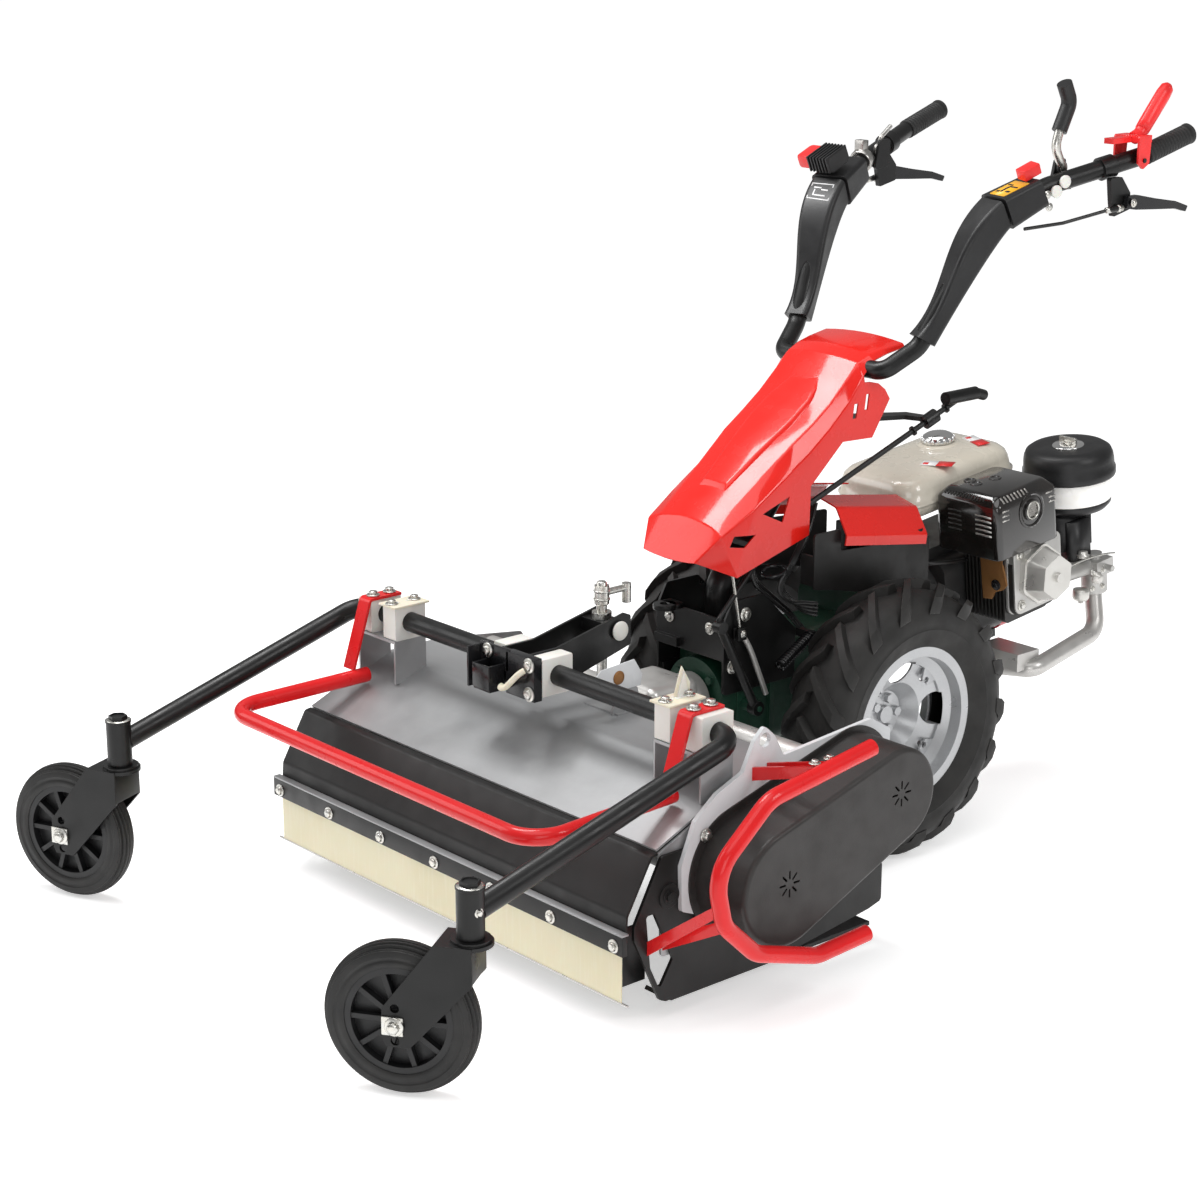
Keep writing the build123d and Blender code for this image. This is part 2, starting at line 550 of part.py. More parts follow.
with BuildPart() as arm_cables:
    pipe([(297, 454, 1136), (292, 428, 1134), (262, 344, 1116), (238, 268, 1110)], 3.2, [30, 40])
    bar((297, 454, 1136), (292, 428, 1134), 5.5)
    mirror(about=Plane.YZ)
write(arm_cables.part, "arm_cables")

with BuildPart() as brake_lever:
    x, y, z = BRAKE_PIVOT
    plate(
        Plane.YZ.offset(-5),
        [(-12, -10), (14, -14), (70, -18), (130, -22), (162, -30), (168, -20), (130, -8), (70, 2), (20, 12),
         (-8, 12)],
        10, 2,
    )
    bar((-5, 0, 0), (5, 0, 0), PIVOT_PIN_R + RUN, mode=Mode.SUBTRACT)
for side, word in SIDES:
    write(brake_lever.part, f"{word}_brake_lever", Location((side * (x + 11.5), y, z)))

with BuildPart() as clutch_lever:
    for side in (LEFT, RIGHT):
        x = CLUTCH_PIVOT[0] + side * 26.5
        plate(Plane.YZ.offset(x - 2), [(488, 1214), (502, 1202), (520, 1212), (524, 1262), (488, 1262)], 4, 5)
    block(CLUTCH_PIVOT[0] - 28.5, CLUTCH_PIVOT[0] + 28.5, 490, 524, 1250, 1262)
    pipe([(283, 505, 1256), (284, 520, 1262), (290, 584, 1340)], 12, 16)
    block(270, 290, 438, 492, 1250, 1260)
    x, y, z = CLUTCH_PIVOT
    bar((x - 31, y, z), (x + 31, y, z), PIVOT_PIN_R + RUN, mode=Mode.SUBTRACT)
write(clutch_lever.part, "clutch_lever")

with BuildPart() as reverser_lever:
    x, y, z = REVERSER_PIVOT
    bar((x + 4 + GAP, y, z), (x + 10, y, z), 13)
    pipe([(x + 9, y, z), (x + 9, 362, 1246), (x + 9, 380, 1290)], 4.3, 14)
    pipe([(x + 9, 372, 1272), (x + 9, 398, 1322), (x + 9, 380, 1356)], 14, 24)
write(reverser_lever.part, "reverser_lever")

with BuildPart() as throttle_lever:
    x, y, z = THROTTLE_PIVOT
    bar((x - 10, y, z), (x - 4 - GAP, y, z), 16)
    pipe([(x - 9, y, z), (x - 9, y + 2, z + 24), (x - 9, y + 30, z + 44)], 4.3, 10)
write(throttle_lever.part, "throttle_lever")

with BuildPart() as stop_switch:
    block(-26, 26, -30, 22, 0, 30)
    fillet(stop_switch.edges().filter_by(Axis.X), 8)
write(stop_switch.part, "stop_switch", Location((-213, 246, 1184), (24, 0, 0)))

# ---- deck ----------------------------------------------------------------------------------------
SHAFT_R = 15.0
DECK_TOP = [(-470, 118), (-470, 350), (-637, 350), (-800, 282)]
END_OUTLINE = [(-798, 278), (-638, 346), (-470, 346), (-316, 326), (-300, 300), (-300, 104), (-792, 104)]
with BuildPart() as deck_shell:
    bent_strip(Plane.YZ.offset(SHEET - DECK_HALF), DECK_TOP, [20, 30], SHEET, 2 * (DECK_HALF - SHEET))
    for x in (-DECK_HALF, DECK_HALF - SHEET):
        plate(Plane.YZ.offset(x), END_OUTLINE, SHEET, 6)
    block(-DECK_HALF, DECK_HALF, -334, -306, 112, 138)              # rear tie
    for side in (LEFT, RIGHT):
        inner, outer = sorted((side * (DECK_HALF - 16), side * DECK_HALF))
        bar((inner, ROTOR_Y, ROTOR_Z), (outer, ROTOR_Y, ROTOR_Z), 40)   # bearing housings
        bar((inner, ROTOR_Y, ROTOR_Z), (outer, ROTOR_Y, ROTOR_Z), SHAFT_R + RUN, mode=Mode.SUBTRACT)
        x0, x1 = sorted((side * BLOCKS[0][0], side * BLOCKS[1][1]))
        block(x0, x1, -700, -632, 404, 409)                         # stools of the pivot blocks
        for x in (x0, x1 - 4):
            block(x, x + 4, -700, -632, 330, 404)
        inner, outer = sorted((side * (DECK_HALF - 18), side * DECK_HALF))
        bar((inner, DRIVE_Y, DRIVE_Z), (outer, DRIVE_Y, DRIVE_Z), SHAFT_R + RUN, mode=Mode.SUBTRACT)
    block(10, 96, -560, -480, 350, 355)                             # galvanised rest of the jack
    plate(Plane.YZ.offset(84), [(-566, 349), (-500, 349), (-508, 392), (-556, 392)], 4, 5)
write(deck_shell.part, "deck_shell")

PLATE_T = 6.0
SIDE_OUTLINE = [
    (-797, 274), (-853, 173), (-853, 150), (-800, 36), (-787, 30), (-549, 30), (-330, 58), (-300, 66),
    (-300, 136), (-470, 150), (-560, 274),
]
with BuildPart() as side_plates:
    plate(Plane.YZ.offset(DECK_HALF), SIDE_OUTLINE, PLATE_T, 8)
    lozenge = [(-829, 184), (-812, 184), (-772, 98), (-800, 54), (-820, 96)]
    plate(Plane.YZ.offset(DECK_HALF), lozenge, PLATE_T, 5, mode=Mode.SUBTRACT)
    bar((DECK_HALF, ROTOR_Y, ROTOR_Z), (DECK_HALF + PLATE_T, ROTOR_Y, ROTOR_Z), 34, mode=Mode.SUBTRACT)
    bar((DECK_HALF + PLATE_T, -783, 206), (DECK_HALF + PLATE_T + 3, -783, 206), 20)
    hex_head((DECK_HALF + PLATE_T + 3, -783, 206), (1, 0, 0), 9, 6)
    block(DECK_HALF - 34, DECK_HALF, -770, -320, 24, 31)            # runner along the foot
    plate(Plane.YZ.offset(DECK_HALF - 34), [(-770, 24), (-770, 31), (-792, 46), (-796, 40)], 34)
    mirror(about=Plane.YZ)
write(side_plates.part, "side_plates")

PANEL_X = DECK_HALF - 0.5
STRIP_BOLTS = 7
with BuildPart() as front_panel:
    bent_strip(
        Plane.YZ.offset(-PANEL_X), [(-800, 277.5), (-812, 276), (-862, 190), (-866, 128)], [6, 12], 4,
        2 * PANEL_X,
    )
    block(-PANEL_X, PANEL_X, -878.6, -869.8, 132, 150)                  # clamp strip of the flap
    for index in range(STRIP_BOLTS):
        hex_head(((index - (STRIP_BOLTS - 1) / 2) * 150, -878.6, 141), (0, -1, 0), 6, 4)
write(front_panel.part, "front_panel")

with BuildPart() as front_flap:
    block(-PANEL_X + 4, PANEL_X - 4, -869.8, -868.2, 46, 150)
write(front_flap.part, "front_flap")

BACKPLATE = [
    (-560, 104), (-700, 150), (-762, 176), (-764, 250), (-735, 318), (-690, 352), (-634, 374),
    (-610, 420), (-588, 440), (-566, 420), (-546, 382), (-345, 398), (-300, 372), (-300, 140), (-480, 104),
]
with BuildPart() as guard_backplate:
    plate(Plane.YZ.offset(DECK_HALF + PLATE_T), BACKPLATE, BACKPLATE_X - DECK_HALF - PLATE_T, 7)
    for y, z, hole in ((-588, 417, 12), (ROTOR_Y, ROTOR_Z, 34), (DRIVE_Y, DRIVE_Z, 34)):
        bar((DECK_HALF, y, z), (BACKPLATE_X, y, z), hole, mode=Mode.SUBTRACT)
write(guard_backplate.part, "guard_backplate")


def belt_outline(plane, front_r, rear_r):
    """The tangent outline round the rotor pulley and the drive pulley."""
    with BuildSketch(plane) as section:
        with BuildLine():
            CenterArc((ROTOR_Y, ROTOR_Z), front_r, 0, 360)
            CenterArc((DRIVE_Y, DRIVE_Z), rear_r, 0, 360)
        make_hull()
    return section.sketch


COVER_FRONT_R, COVER_REAR_R, COVER_WALL = 97.0, 80.0, 3.0
with BuildPart() as belt_guard:
    outer_wall = belt_outline(Plane.YZ.offset(BACKPLATE_X), COVER_FRONT_R, COVER_REAR_R)
    extrude(outer_wall, amount=GUARD_X - BACKPLATE_X)
    fillet(belt_guard.edges().group_by(Axis.X)[-1], 8)
    extrude(belt_outline(Plane.YZ.offset(BACKPLATE_X), COVER_FRONT_R + 12, COVER_REAR_R + 10), amount=3)
    extrude(
        belt_outline(Plane.YZ.offset(BACKPLATE_X), COVER_FRONT_R - COVER_WALL, COVER_REAR_R - COVER_WALL),
        amount=GUARD_X - BACKPLATE_X - COVER_WALL, mode=Mode.SUBTRACT,
    )
    for y, z in ((ROTOR_Y, ROTOR_Z + 8), (DRIVE_Y, DRIVE_Z + 6)):       # vent rosettes
        with BuildSketch(Plane.YZ.offset(GUARD_X - 10)) as vent:
            with Locations((y, z)):
                with PolarLocations(15, 8):
                    SlotOverall(14, 3.4)
        extrude(vent.sketch, amount=20, mode=Mode.SUBTRACT)
    for y, z in ((-716, 292), (-515, 355), (-560, 132)):
        hex_head((BACKPLATE_X + 3, y, z), (1, 0, 0), 6, 5)
write(belt_guard.part, "belt_guard")

BAR_PATH = [(-500, 424), (-722, 392), (-832, 302), (-812, 214), (-745, 150), (-612, 108), (-500, 114)]
with BuildPart() as guard_bar:
    pipe([(GUARD_BAR_X, y, z) for y, z in BAR_PATH], BAR_PIPE_R, [70, 70, 50, 60, 60])
    for y in (-612, -580):                                              # straps to the backplate
        plate(Plane.XZ.offset(-y - 3), [(BACKPLATE_X, 356), (BACKPLATE_X, 378), (616, 418), (616, 400)], 6)
    for y in (-824, -792):
        plate(
            Plane.XZ.offset(-y - 3),
            [(DECK_HALF + PLATE_T, 118), (DECK_HALF + PLATE_T, 142), (614, 246 - (y + 824) * 0.9),
             (614, 226 - (y + 824) * 0.9)], 6,
        )
write(guard_bar.part, "guard_bar")

with BuildPart() as bumper_bar:
    pipe([(404, -716, 338), (414, -1005, 333), (-414, -1005, 333), (-404, -716, 338)], BAR_PIPE_R, 60)
    for x in (404, -434):
        bent_strip(Plane.YZ.offset(x), [(-636, 472.8), (-704, 472.8), (-744, 350)], 8, 5, 30)
        for y in (-652, -688):
            hex_head((x + 15, y, 475.3), (0, 0, 1), 7, 5)
write(bumper_bar.part, "bumper_bar")

BLOCK_Z0, BLOCK_Z1 = 409.0, 470.0
with BuildPart() as pivot_blocks:
    for x0, x1 in BLOCKS:
        block(x0, x1, -698, -632, BLOCK_Z0, BLOCK_Z1)
    fillet(pivot_blocks.edges().filter_by(Axis.X), 3)
    bar((300, CROSS_Y, CROSS_Z), (480, CROSS_Y, CROSS_Z), CROSS_R + RUN, mode=Mode.SUBTRACT)
    for y in (-652, -682):
        hex_head((358, y, BLOCK_Z1), (0, 0, 1), 6, 5)
    mirror(about=Plane.YZ)
    plate(Plane.YZ.offset(352), [(-664, BLOCK_Z1 + 4), (-640, BLOCK_Z1 + 4), (-650, BLOCK_Z1 + 44)], 4)
    block(346, 362, -670, -640, BLOCK_Z1, BLOCK_Z1 + 4)
write(pivot_blocks.part, "pivot_blocks")

with BuildPart() as deck_gearbox:
    block(-62, 62, DRIVE_Y - 62, DRIVE_Y + 56, DRIVE_Z - 62, DRIVE_Z + 58)
    fillet(deck_gearbox.edges(), 18)
    bar((0, DRIVE_Y + 40, PTO_Z), (0, PTO_FLANGE_Y - 8, PTO_Z), 48)
    bar((0, DRIVE_Y + 40, PTO_Z), (0, -236, PTO_Z), PTO_R - RUN)         # float pivot and coupling
    bar((40, DRIVE_Y, DRIVE_Z), (DECK_HALF - SHEET, DRIVE_Y, DRIVE_Z), 27)
    bar((-DECK_HALF + SHEET, DRIVE_Y, DRIVE_Z), (-40, DRIVE_Y, DRIVE_Z), 27)
    shaft_ends = (-DECK_HALF, DRIVE_Y, DRIVE_Z), (DECK_HALF + 20, DRIVE_Y, DRIVE_Z)
    bar(*shaft_ends, SHAFT_R + 2 * RUN, mode=Mode.SUBTRACT)
    block(-56, 56, DRIVE_Y - 77, DRIVE_Y - 50, DRIVE_Z - 40, DRIVE_Z + 36)
write(deck_gearbox.part, "deck_gearbox")

with BuildPart() as drive_pulley:
    bar((-DECK_HALF + 20, DRIVE_Y, DRIVE_Z), (PULLEY_X1 + 14, DRIVE_Y, DRIVE_Z), SHAFT_R)
    bar((PULLEY_X0, DRIVE_Y, DRIVE_Z), (PULLEY_X1, DRIVE_Y, DRIVE_Z), DRIVE_PULLEY_R)
    for x0, x1 in ((PULLEY_X0 - 4, PULLEY_X0), (PULLEY_X1, PULLEY_X1 + 4)):
        bar((x0, DRIVE_Y, DRIVE_Z), (x1, DRIVE_Y, DRIVE_Z), DRIVE_PULLEY_R + BELT_T + 3)
write(drive_pulley.part, "drive_pulley")

with BuildPart() as drive_belt:
    outer = belt_outline(Plane.YZ.offset(PULLEY_X0 + 0.5), ROTOR_PULLEY_R + BELT_T, DRIVE_PULLEY_R + BELT_T)
    inner = belt_outline(Plane.YZ.offset(PULLEY_X0 + 0.5), ROTOR_PULLEY_R + GAP, DRIVE_PULLEY_R + GAP)
    extrude(outer, amount=PULLEY_X1 - PULLEY_X0 - 1)
    extrude(inner, amount=PULLEY_X1 - PULLEY_X0 - 1, mode=Mode.SUBTRACT)
write(drive_belt.part, "drive_belt")

# ---- rotor ---------------------------------------------------------------------------------------
ROTOR_TUBE_R, KNIFE_ROWS, KNIFE_STATIONS = 48.0, 3, 12
with BuildPart() as flail_rotor:
    bar((-DECK_HALF, ROTOR_Y, ROTOR_Z), (PULLEY_X1 + 12, ROTOR_Y, ROTOR_Z), SHAFT_R)
    bar((-440, ROTOR_Y, ROTOR_Z), (440, ROTOR_Y, ROTOR_Z), ROTOR_TUBE_R)
    bar((-430, ROTOR_Y, ROTOR_Z), (430, ROTOR_Y, ROTOR_Z), ROTOR_TUBE_R - 6, mode=Mode.SUBTRACT)
    bar((-440, ROTOR_Y, ROTOR_Z), (440, ROTOR_Y, ROTOR_Z), SHAFT_R)
    bar((PULLEY_X0, ROTOR_Y, ROTOR_Z), (PULLEY_X1, ROTOR_Y, ROTOR_Z), ROTOR_PULLEY_R)
    for x0, x1 in ((PULLEY_X0 - 4, PULLEY_X0), (PULLEY_X1, PULLEY_X1 + 4)):
        bar((x0, ROTOR_Y, ROTOR_Z), (x1, ROTOR_Y, ROTOR_Z), ROTOR_PULLEY_R + BELT_T + 3)
write(flail_rotor.part, "flail_rotor")

LUG_FOOT, LUG_T, BLADE_T = ROTOR_TUBE_R + 0.2, 16.0, 5.0
with BuildPart() as flail_knives:
    for station in range(KNIFE_STATIONS):
        x = -396 + station * 792 / (KNIFE_STATIONS - 1)
        spoke = Plane(
            origin=(x - 8, ROTOR_Y, ROTOR_Z), x_dir=(0, 1, 0), z_dir=(1, 0, 0)
        ).rotated((station % KNIFE_ROWS * 120 + 20, 0, 0))
        lug = [(LUG_FOOT, -12), (LUG_FOOT + 30, -9), (LUG_FOOT + 30, 9), (LUG_FOOT, 12)]
        blade = [(64, -14), (KNIFE_TIP, -22), (KNIFE_TIP, 22), (64, 14)]
        plate(spoke, lug, LUG_T)
        plate(spoke.offset(-BLADE_T), blade, BLADE_T)
        plate(spoke.offset(LUG_T), blade, BLADE_T)
write(flail_knives.part, "flail_knives")

# ---- front casters ----------------------------------------------------------------------------------
with BuildPart() as caster_frame:
    pipe(
        [
            (POST_X, POST_Y + 14, 297), (490, CROSS_Y, CROSS_Z),
            (-490, CROSS_Y, CROSS_Z), (-POST_X, POST_Y + 14, 297),
        ],
        CROSS_R, 38,
    )
    for side in (LEFT, RIGHT):
        post_ends = (side * POST_X, POST_Y, POST_BOTTOM), (side * POST_X, POST_Y, POST_TOP)
        bar(*post_ends, POST_R)
        bar(*post_ends, STEM_R + RUN, mode=Mode.SUBTRACT)
write(caster_frame.part, "caster_frame")

LEVER_HALF, JACK_Y, TRUNNION_Z = 34.0, -512.0, 478.0
with BuildPart() as jack_lever:
    for x in (-LEVER_HALF, LEVER_HALF - 5):
        plate(
            Plane.YZ.offset(x),
            [(-700, 404), (-700, 474), (-640, 474), (-490, 506), (-476, 500), (-476, 448), (-640, 404)], 5, 5,
        )
    block(LEVER_HALF * -1, LEVER_HALF, -706, -700, 404, 474)
    block(-LEVER_HALF - 40, -LEVER_HALF, -716, -700, 412, 468)          # tool pocket at the front
    block(LEVER_HALF, LEVER_HALF + 30, -698, -634, 408, 470)            # white clamp block
    block(-LEVER_HALF + 5, LEVER_HALF - 5, JACK_Y - 20, JACK_Y + 20, 470, 494)
    for x in (-LEVER_HALF - 4, LEVER_HALF):
        bar((x, JACK_Y + 8, TRUNNION_Z), (x + 4, JACK_Y + 8, TRUNNION_Z), 15)
    bar((-80, CROSS_Y, CROSS_Z), (80, CROSS_Y, CROSS_Z), CROSS_R, mode=Mode.SUBTRACT)
    bar((0, JACK_Y, 440), (0, JACK_Y, 520), 9 + RUN, mode=Mode.SUBTRACT)
write(jack_lever.part, "jack_lever")

with BuildPart() as jack_crank:
    bar((0, JACK_Y, 378), (0, JACK_Y, 545), 9)
    ring((0, JACK_Y, 494 + GAP), (0, JACK_Y, 506), 17, 9)
    bar((0, JACK_Y, 520), (0, JACK_Y, 552), 13)
    bar((0, JACK_Y, 538), (0, JACK_Y + 62, 538), 6)
    bar((0, JACK_Y + 56, 546), (0, JACK_Y + 56, 512), 8)
write(jack_crank.part, "jack_crank")

LEG_T = 5.0
FORK_TOP = 2 * CASTER_R + 6
with BuildPart() as caster_fork:
    with BuildSketch(Plane.XY.offset(FORK_TOP)) as crown:
        with BuildLine():
            half = CASTER_HALF + 8 + LEG_T
            Polyline((-half, -46), (half, -46), (half, 12), (-half, 12), close=True)
        make_face()
        Circle(34)
    extrude(crown.sketch, amount=6)
    for side in (LEFT, RIGHT):
        x = side * (CASTER_HALF + 8 + LEG_T / 2) - LEG_T / 2
        outline = [
            (12, FORK_TOP + 6), (12, FORK_TOP - 52), (-CASTER_TRAIL + 22, CASTER_R - 34),
            (-CASTER_TRAIL - 14, CASTER_R - 34), (-CASTER_TRAIL - 20, CASTER_R - 20),
            (-CASTER_TRAIL - 20, CASTER_R + 26), (-46, FORK_TOP + 6),
        ]
        plate(Plane.YZ.offset(x), outline, LEG_T, 4)
        for z in (CASTER_R + 27, CASTER_R - 24):                       # spare axle holes
            bar((x, -CASTER_TRAIL, z), (x + LEG_T, -CASTER_TRAIL, z), 7, mode=Mode.SUBTRACT)
        hex_head((side * (CASTER_HALF + 8 + LEG_T), -CASTER_TRAIL, CASTER_R), (side, 0, 0), 9, 7)
    bar((CASTER_HALF * -1 - 8, -CASTER_TRAIL, CASTER_R), (CASTER_HALF + 8, -CASTER_TRAIL, CASTER_R), 8)
    bar((0, 0, FORK_TOP + 6), (0, 0, POST_BOTTOM - GAP), 30)
    bar((0, 0, FORK_TOP + 4), (0, 0, POST_TOP + 10), STEM_R)
    ring((0, 0, POST_TOP + GAP), (0, 0, POST_TOP + 4), 22, STEM_R)
    with BuildSketch(Plane.XY.offset(POST_TOP + 4)) as nut:
        RegularPolygon(16, 6)
        Circle(STEM_R, mode=Mode.SUBTRACT)
    extrude(nut.sketch, amount=8)

RIM_R = 84.0
with BuildPart() as caster_tyre:
    with BuildSketch(Plane.XY) as section:
        with BuildLine():
            Polyline((CASTER_HALF - 2, RIM_R), (CASTER_HALF, RIM_R + 6), (CASTER_HALF, CASTER_R - 12))
            ThreePointArc((CASTER_HALF, CASTER_R - 12), (0, CASTER_R), (-CASTER_HALF, CASTER_R - 12))
            Polyline((-CASTER_HALF, CASTER_R - 12), (-CASTER_HALF, RIM_R + 6), (2 - CASTER_HALF, RIM_R),
                     (CASTER_HALF - 2, RIM_R))
        make_face()
    revolve(section.sketch, axis=Axis.X)

SPOKES = 10
with BuildPart() as caster_rim:
    ring((-CASTER_HALF + 3, 0, 0), (CASTER_HALF - 3, 0, 0), RIM_R, RIM_R - 10)
    bar((-CASTER_HALF - 4, 0, 0), (CASTER_HALF + 4, 0, 0), 22)
    ring((-3, 0, 0), (3, 0, 0), RIM_R - 5, 18)
    for side in (LEFT, RIGHT):
        with BuildSketch(Plane.YZ.offset(side * 3)) as spokes:
            with PolarLocations(48, SPOKES):
                Rectangle(62, 8)
        extrude(spokes.sketch, amount=side * (CASTER_HALF - 8))
    bar((-40, 0, 0), (40, 0, 0), 8 + RUN, mode=Mode.SUBTRACT)

for side, word in SIDES:
    fork_place = Location((side * POST_X, POST_Y, 0), (0, 0, -CASTER_TURNED[side]))
    wheel_place = fork_place * Location((0, -CASTER_TRAIL, CASTER_R))
    write(caster_fork.part, f"{word}_caster_fork", fork_place)
    write(caster_tyre.part, f"{word}_caster_tyre", wheel_place)
    write(caster_rim.part, f"{word}_caster_rim", wheel_place)

# ---- control cables held along the gearbox ----------------------------------------------------------
with BuildPart() as control_cables:
    for x, y in ((68, -222), (56, -206)):
        pipe([(x, y, 568), (x + 4, y - 6, 520), (x + 18, y + 70, 452), (x + 14, y + 120, 401)], 3.6, [40, 30])
    bar((118, -196, 372), (118, -128, 410), 9)                          # return spring
    bar((118, -204, 368), (118, -120, 414), 2.5)
    block(81.4, 121, -124, -112, 404, 418)
write(control_cables.part, "control_cables")
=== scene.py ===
"""The looks of a walk-behind flail brush mower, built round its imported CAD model.

Sizes are millimetres in the machine's own datum, the ground under the middle of the drive axle,
with +X the machine's left and -Y the way it drives. TO_FRAME and TO_ENGINE turn them into metres
in the shared frame.
"""
import math

import bmesh
import bpy
from mathutils import Matrix, Vector
from mathutils.bvhtree import BVHTree


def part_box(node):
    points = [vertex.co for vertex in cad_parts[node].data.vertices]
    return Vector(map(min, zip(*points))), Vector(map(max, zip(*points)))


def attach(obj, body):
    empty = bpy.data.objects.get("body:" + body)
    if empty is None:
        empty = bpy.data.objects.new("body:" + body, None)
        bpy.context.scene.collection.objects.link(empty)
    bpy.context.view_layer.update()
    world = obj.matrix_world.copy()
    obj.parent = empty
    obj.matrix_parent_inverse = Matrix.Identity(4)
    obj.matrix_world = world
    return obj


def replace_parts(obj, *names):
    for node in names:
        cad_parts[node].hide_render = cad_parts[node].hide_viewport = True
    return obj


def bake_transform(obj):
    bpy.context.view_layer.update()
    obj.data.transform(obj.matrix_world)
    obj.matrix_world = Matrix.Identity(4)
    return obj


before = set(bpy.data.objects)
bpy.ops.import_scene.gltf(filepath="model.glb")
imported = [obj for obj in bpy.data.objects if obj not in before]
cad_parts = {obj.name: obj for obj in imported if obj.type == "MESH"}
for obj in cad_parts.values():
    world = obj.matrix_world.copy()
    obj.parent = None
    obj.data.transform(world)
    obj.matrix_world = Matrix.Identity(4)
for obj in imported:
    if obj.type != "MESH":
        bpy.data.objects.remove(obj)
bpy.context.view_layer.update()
MM = 0.001
LEFT, RIGHT = 1, -1
SIDES = ((LEFT, "left"), (RIGHT, "right"))
UP, DOWN, FORWARD, OUT = (0, 0, 1), (0, 0, -1), (0, -1, 0), (1, 0, 0)


def middle(node):
    """The centre of a CAD node's box."""
    low, high = (Vector(corner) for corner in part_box(node))
    return (low + high) / 2


AXLE = (middle("left_drive_tyre") + middle("right_drive_tyre")) / 2
TO_FRAME = Matrix.Translation((AXLE.x, AXLE.y, 0)) @ Matrix.Scale(MM, 4)
ENGINE_TILT = math.radians(7)
TO_ENGINE = TO_FRAME @ Matrix.Translation((0, 132, 365)) @ Matrix.Rotation(ENGINE_TILT, 4, "X")


def at(x, y, z):
    """A point of the machine, in metres in the frame."""
    return TO_FRAME @ Vector((x, y, z))


def moved(place, *spot):
    """A placing matrix with its origin moved to a point of its own millimetres."""
    return place @ Matrix.Translation(spot)


# ---- materials ----
COAT_ROUGHNESS = 0.08
SOFT_EDGE = 1.2


class Shader:
    """One procedural material: object coordinates, and short calls that wire noise into it."""

    def __init__(self, name, colour, roughness, metallic=0.0, coat=0.0):
        self.material = bpy.data.materials.new(name)
        self.material.use_nodes = True
        self.tree = self.material.node_tree
        self.bsdf = self.tree.nodes["Principled BSDF"]
        self.place = self.node("ShaderNodeTexCoord").outputs["Object"]
        self.roughness = roughness
        self.base = self.colour(colour)
        self.normal = None
        self.fill(self.bsdf, {"Metallic": metallic, "Coat Weight": coat, "Coat Roughness": COAT_ROUGHNESS})

    def fill(self, node, inputs):
        """Fills a node's inputs with sockets or with plain values."""
        for name, value in inputs.items():
            if isinstance(value, bpy.types.NodeSocket):
                self.tree.links.new(value, node.inputs[name])
            else:
                node.inputs[name].default_value = value

    def node(self, kind, inputs=None, **settings):
        """Adds a node, sets its properties and fills its inputs."""
        made = self.tree.nodes.new(kind)
        for name, value in settings.items():
            setattr(made, name, value)
        self.fill(made, inputs or {})
        return made

    def gloss(self, level):
        """How much the bare surface reflects."""
        self.fill(self.bsdf, {"Specular IOR Level": level})

    def milky(self, weight, scale, through=0.0):
        """Lets light into the surface."""
        self.fill(self.bsdf, {
            "Subsurface Weight": weight, "Subsurface Scale": scale, "Transmission Weight": through,
        })

    def colour(self, value):
        """A constant colour as a socket."""
        made = self.node("ShaderNodeRGB")
        made.outputs[0].default_value = (*value, 1)
        return made.outputs[0]

    def noise(self, scale, detail=4.0, stretch=(1, 1, 1)):
        """Noise in the piece's own coordinates, in features per metre."""
        mapping = self.node("ShaderNodeMapping", {"Scale": stretch, "Vector": self.place})
        inputs = {"Scale": scale, "Detail": detail, "Vector": mapping.outputs[0]}
        return self.node("ShaderNodeTexNoise", inputs).outputs["Fac"]

    def cells(self, scale):
        """Crystals of a plated surface: a grey that differs from cell to cell."""
        made = self.node("ShaderNodeTexVoronoi", {"Scale": scale, "Randomness": 1.0, "Vector": self.place})
        return self.node("ShaderNodeRGBToBW", {0: made.outputs["Color"]}).outputs[0]

    def ranged(self, socket, low, high, from_low=0.3, from_high=0.7):
        """A socket's range mapped to another."""
        inputs = {"From Min": from_low, "From Max": from_high, "To Min": low, "To Max": high, "Value": socket}
        return self.node("ShaderNodeMapRange", inputs).outputs[0]

    def blend(self, mask, colour):
        """Mixes a colour into the base where the mask is high."""
        inputs = {"Factor": mask, "A": self.base, "B": self.colour(colour)}
        self.base = self.node("ShaderNodeMix", inputs, data_type="RGBA").outputs["Result"]

    def mottle(self, colour, scale, amount, detail=5.0):
        """Soft patches of another colour."""
        self.blend(self.ranged(self.noise(scale, detail), 0, amount), colour)

    def edges(self, colour, amount, width):
        """Wear along edges, broken up by noise."""
        rounded = self.node("ShaderNodeBevel", {"Radius": width * MM}, samples=3).outputs[0]
        flat = self.node("ShaderNodeNewGeometry").outputs["Normal"]
        dot = self.node("ShaderNodeVectorMath", {0: rounded, 1: flat}, operation="DOT_PRODUCT")
        edge = self.ranged(dot.outputs["Value"], amount, 0, 0.75, 0.97)
        broken = self.ranged(self.noise(140, 3), 0, 1, 0.42, 0.6)
        self.blend(self.node("ShaderNodeMath", {0: edge, 1: broken}, operation="MULTIPLY").outputs[0], colour)

    def grain(self, scale, depth, strength=0.5, detail=3.0, stretch=(1, 1, 1)):
        """Relief in the surface, over edges that the light sees as rounded."""
        if self.normal is None:
            self.normal = self.node("ShaderNodeBevel", {"Radius": SOFT_EDGE * MM}, samples=3).outputs[0]
        self.normal = self.node("ShaderNodeBump", {
            "Strength": strength, "Distance": depth * MM, "Height": self.noise(scale, detail, stretch),
            "Normal": self.normal,
        }).outputs[0]

    def done(self, swing=0.06, swing_scale=25):
        """Wires the colour, the uneven gloss and the relief into the shader."""
        low, high = max(self.roughness - swing, 0.02), self.roughness + swing
        wires = {"Base Color": self.base, "Roughness": self.ranged(self.noise(swing_scale, 6), low, high)}
        if self.normal:
            wires["Normal"] = self.normal
        self.fill(self.bsdf, wires)
        return self.material


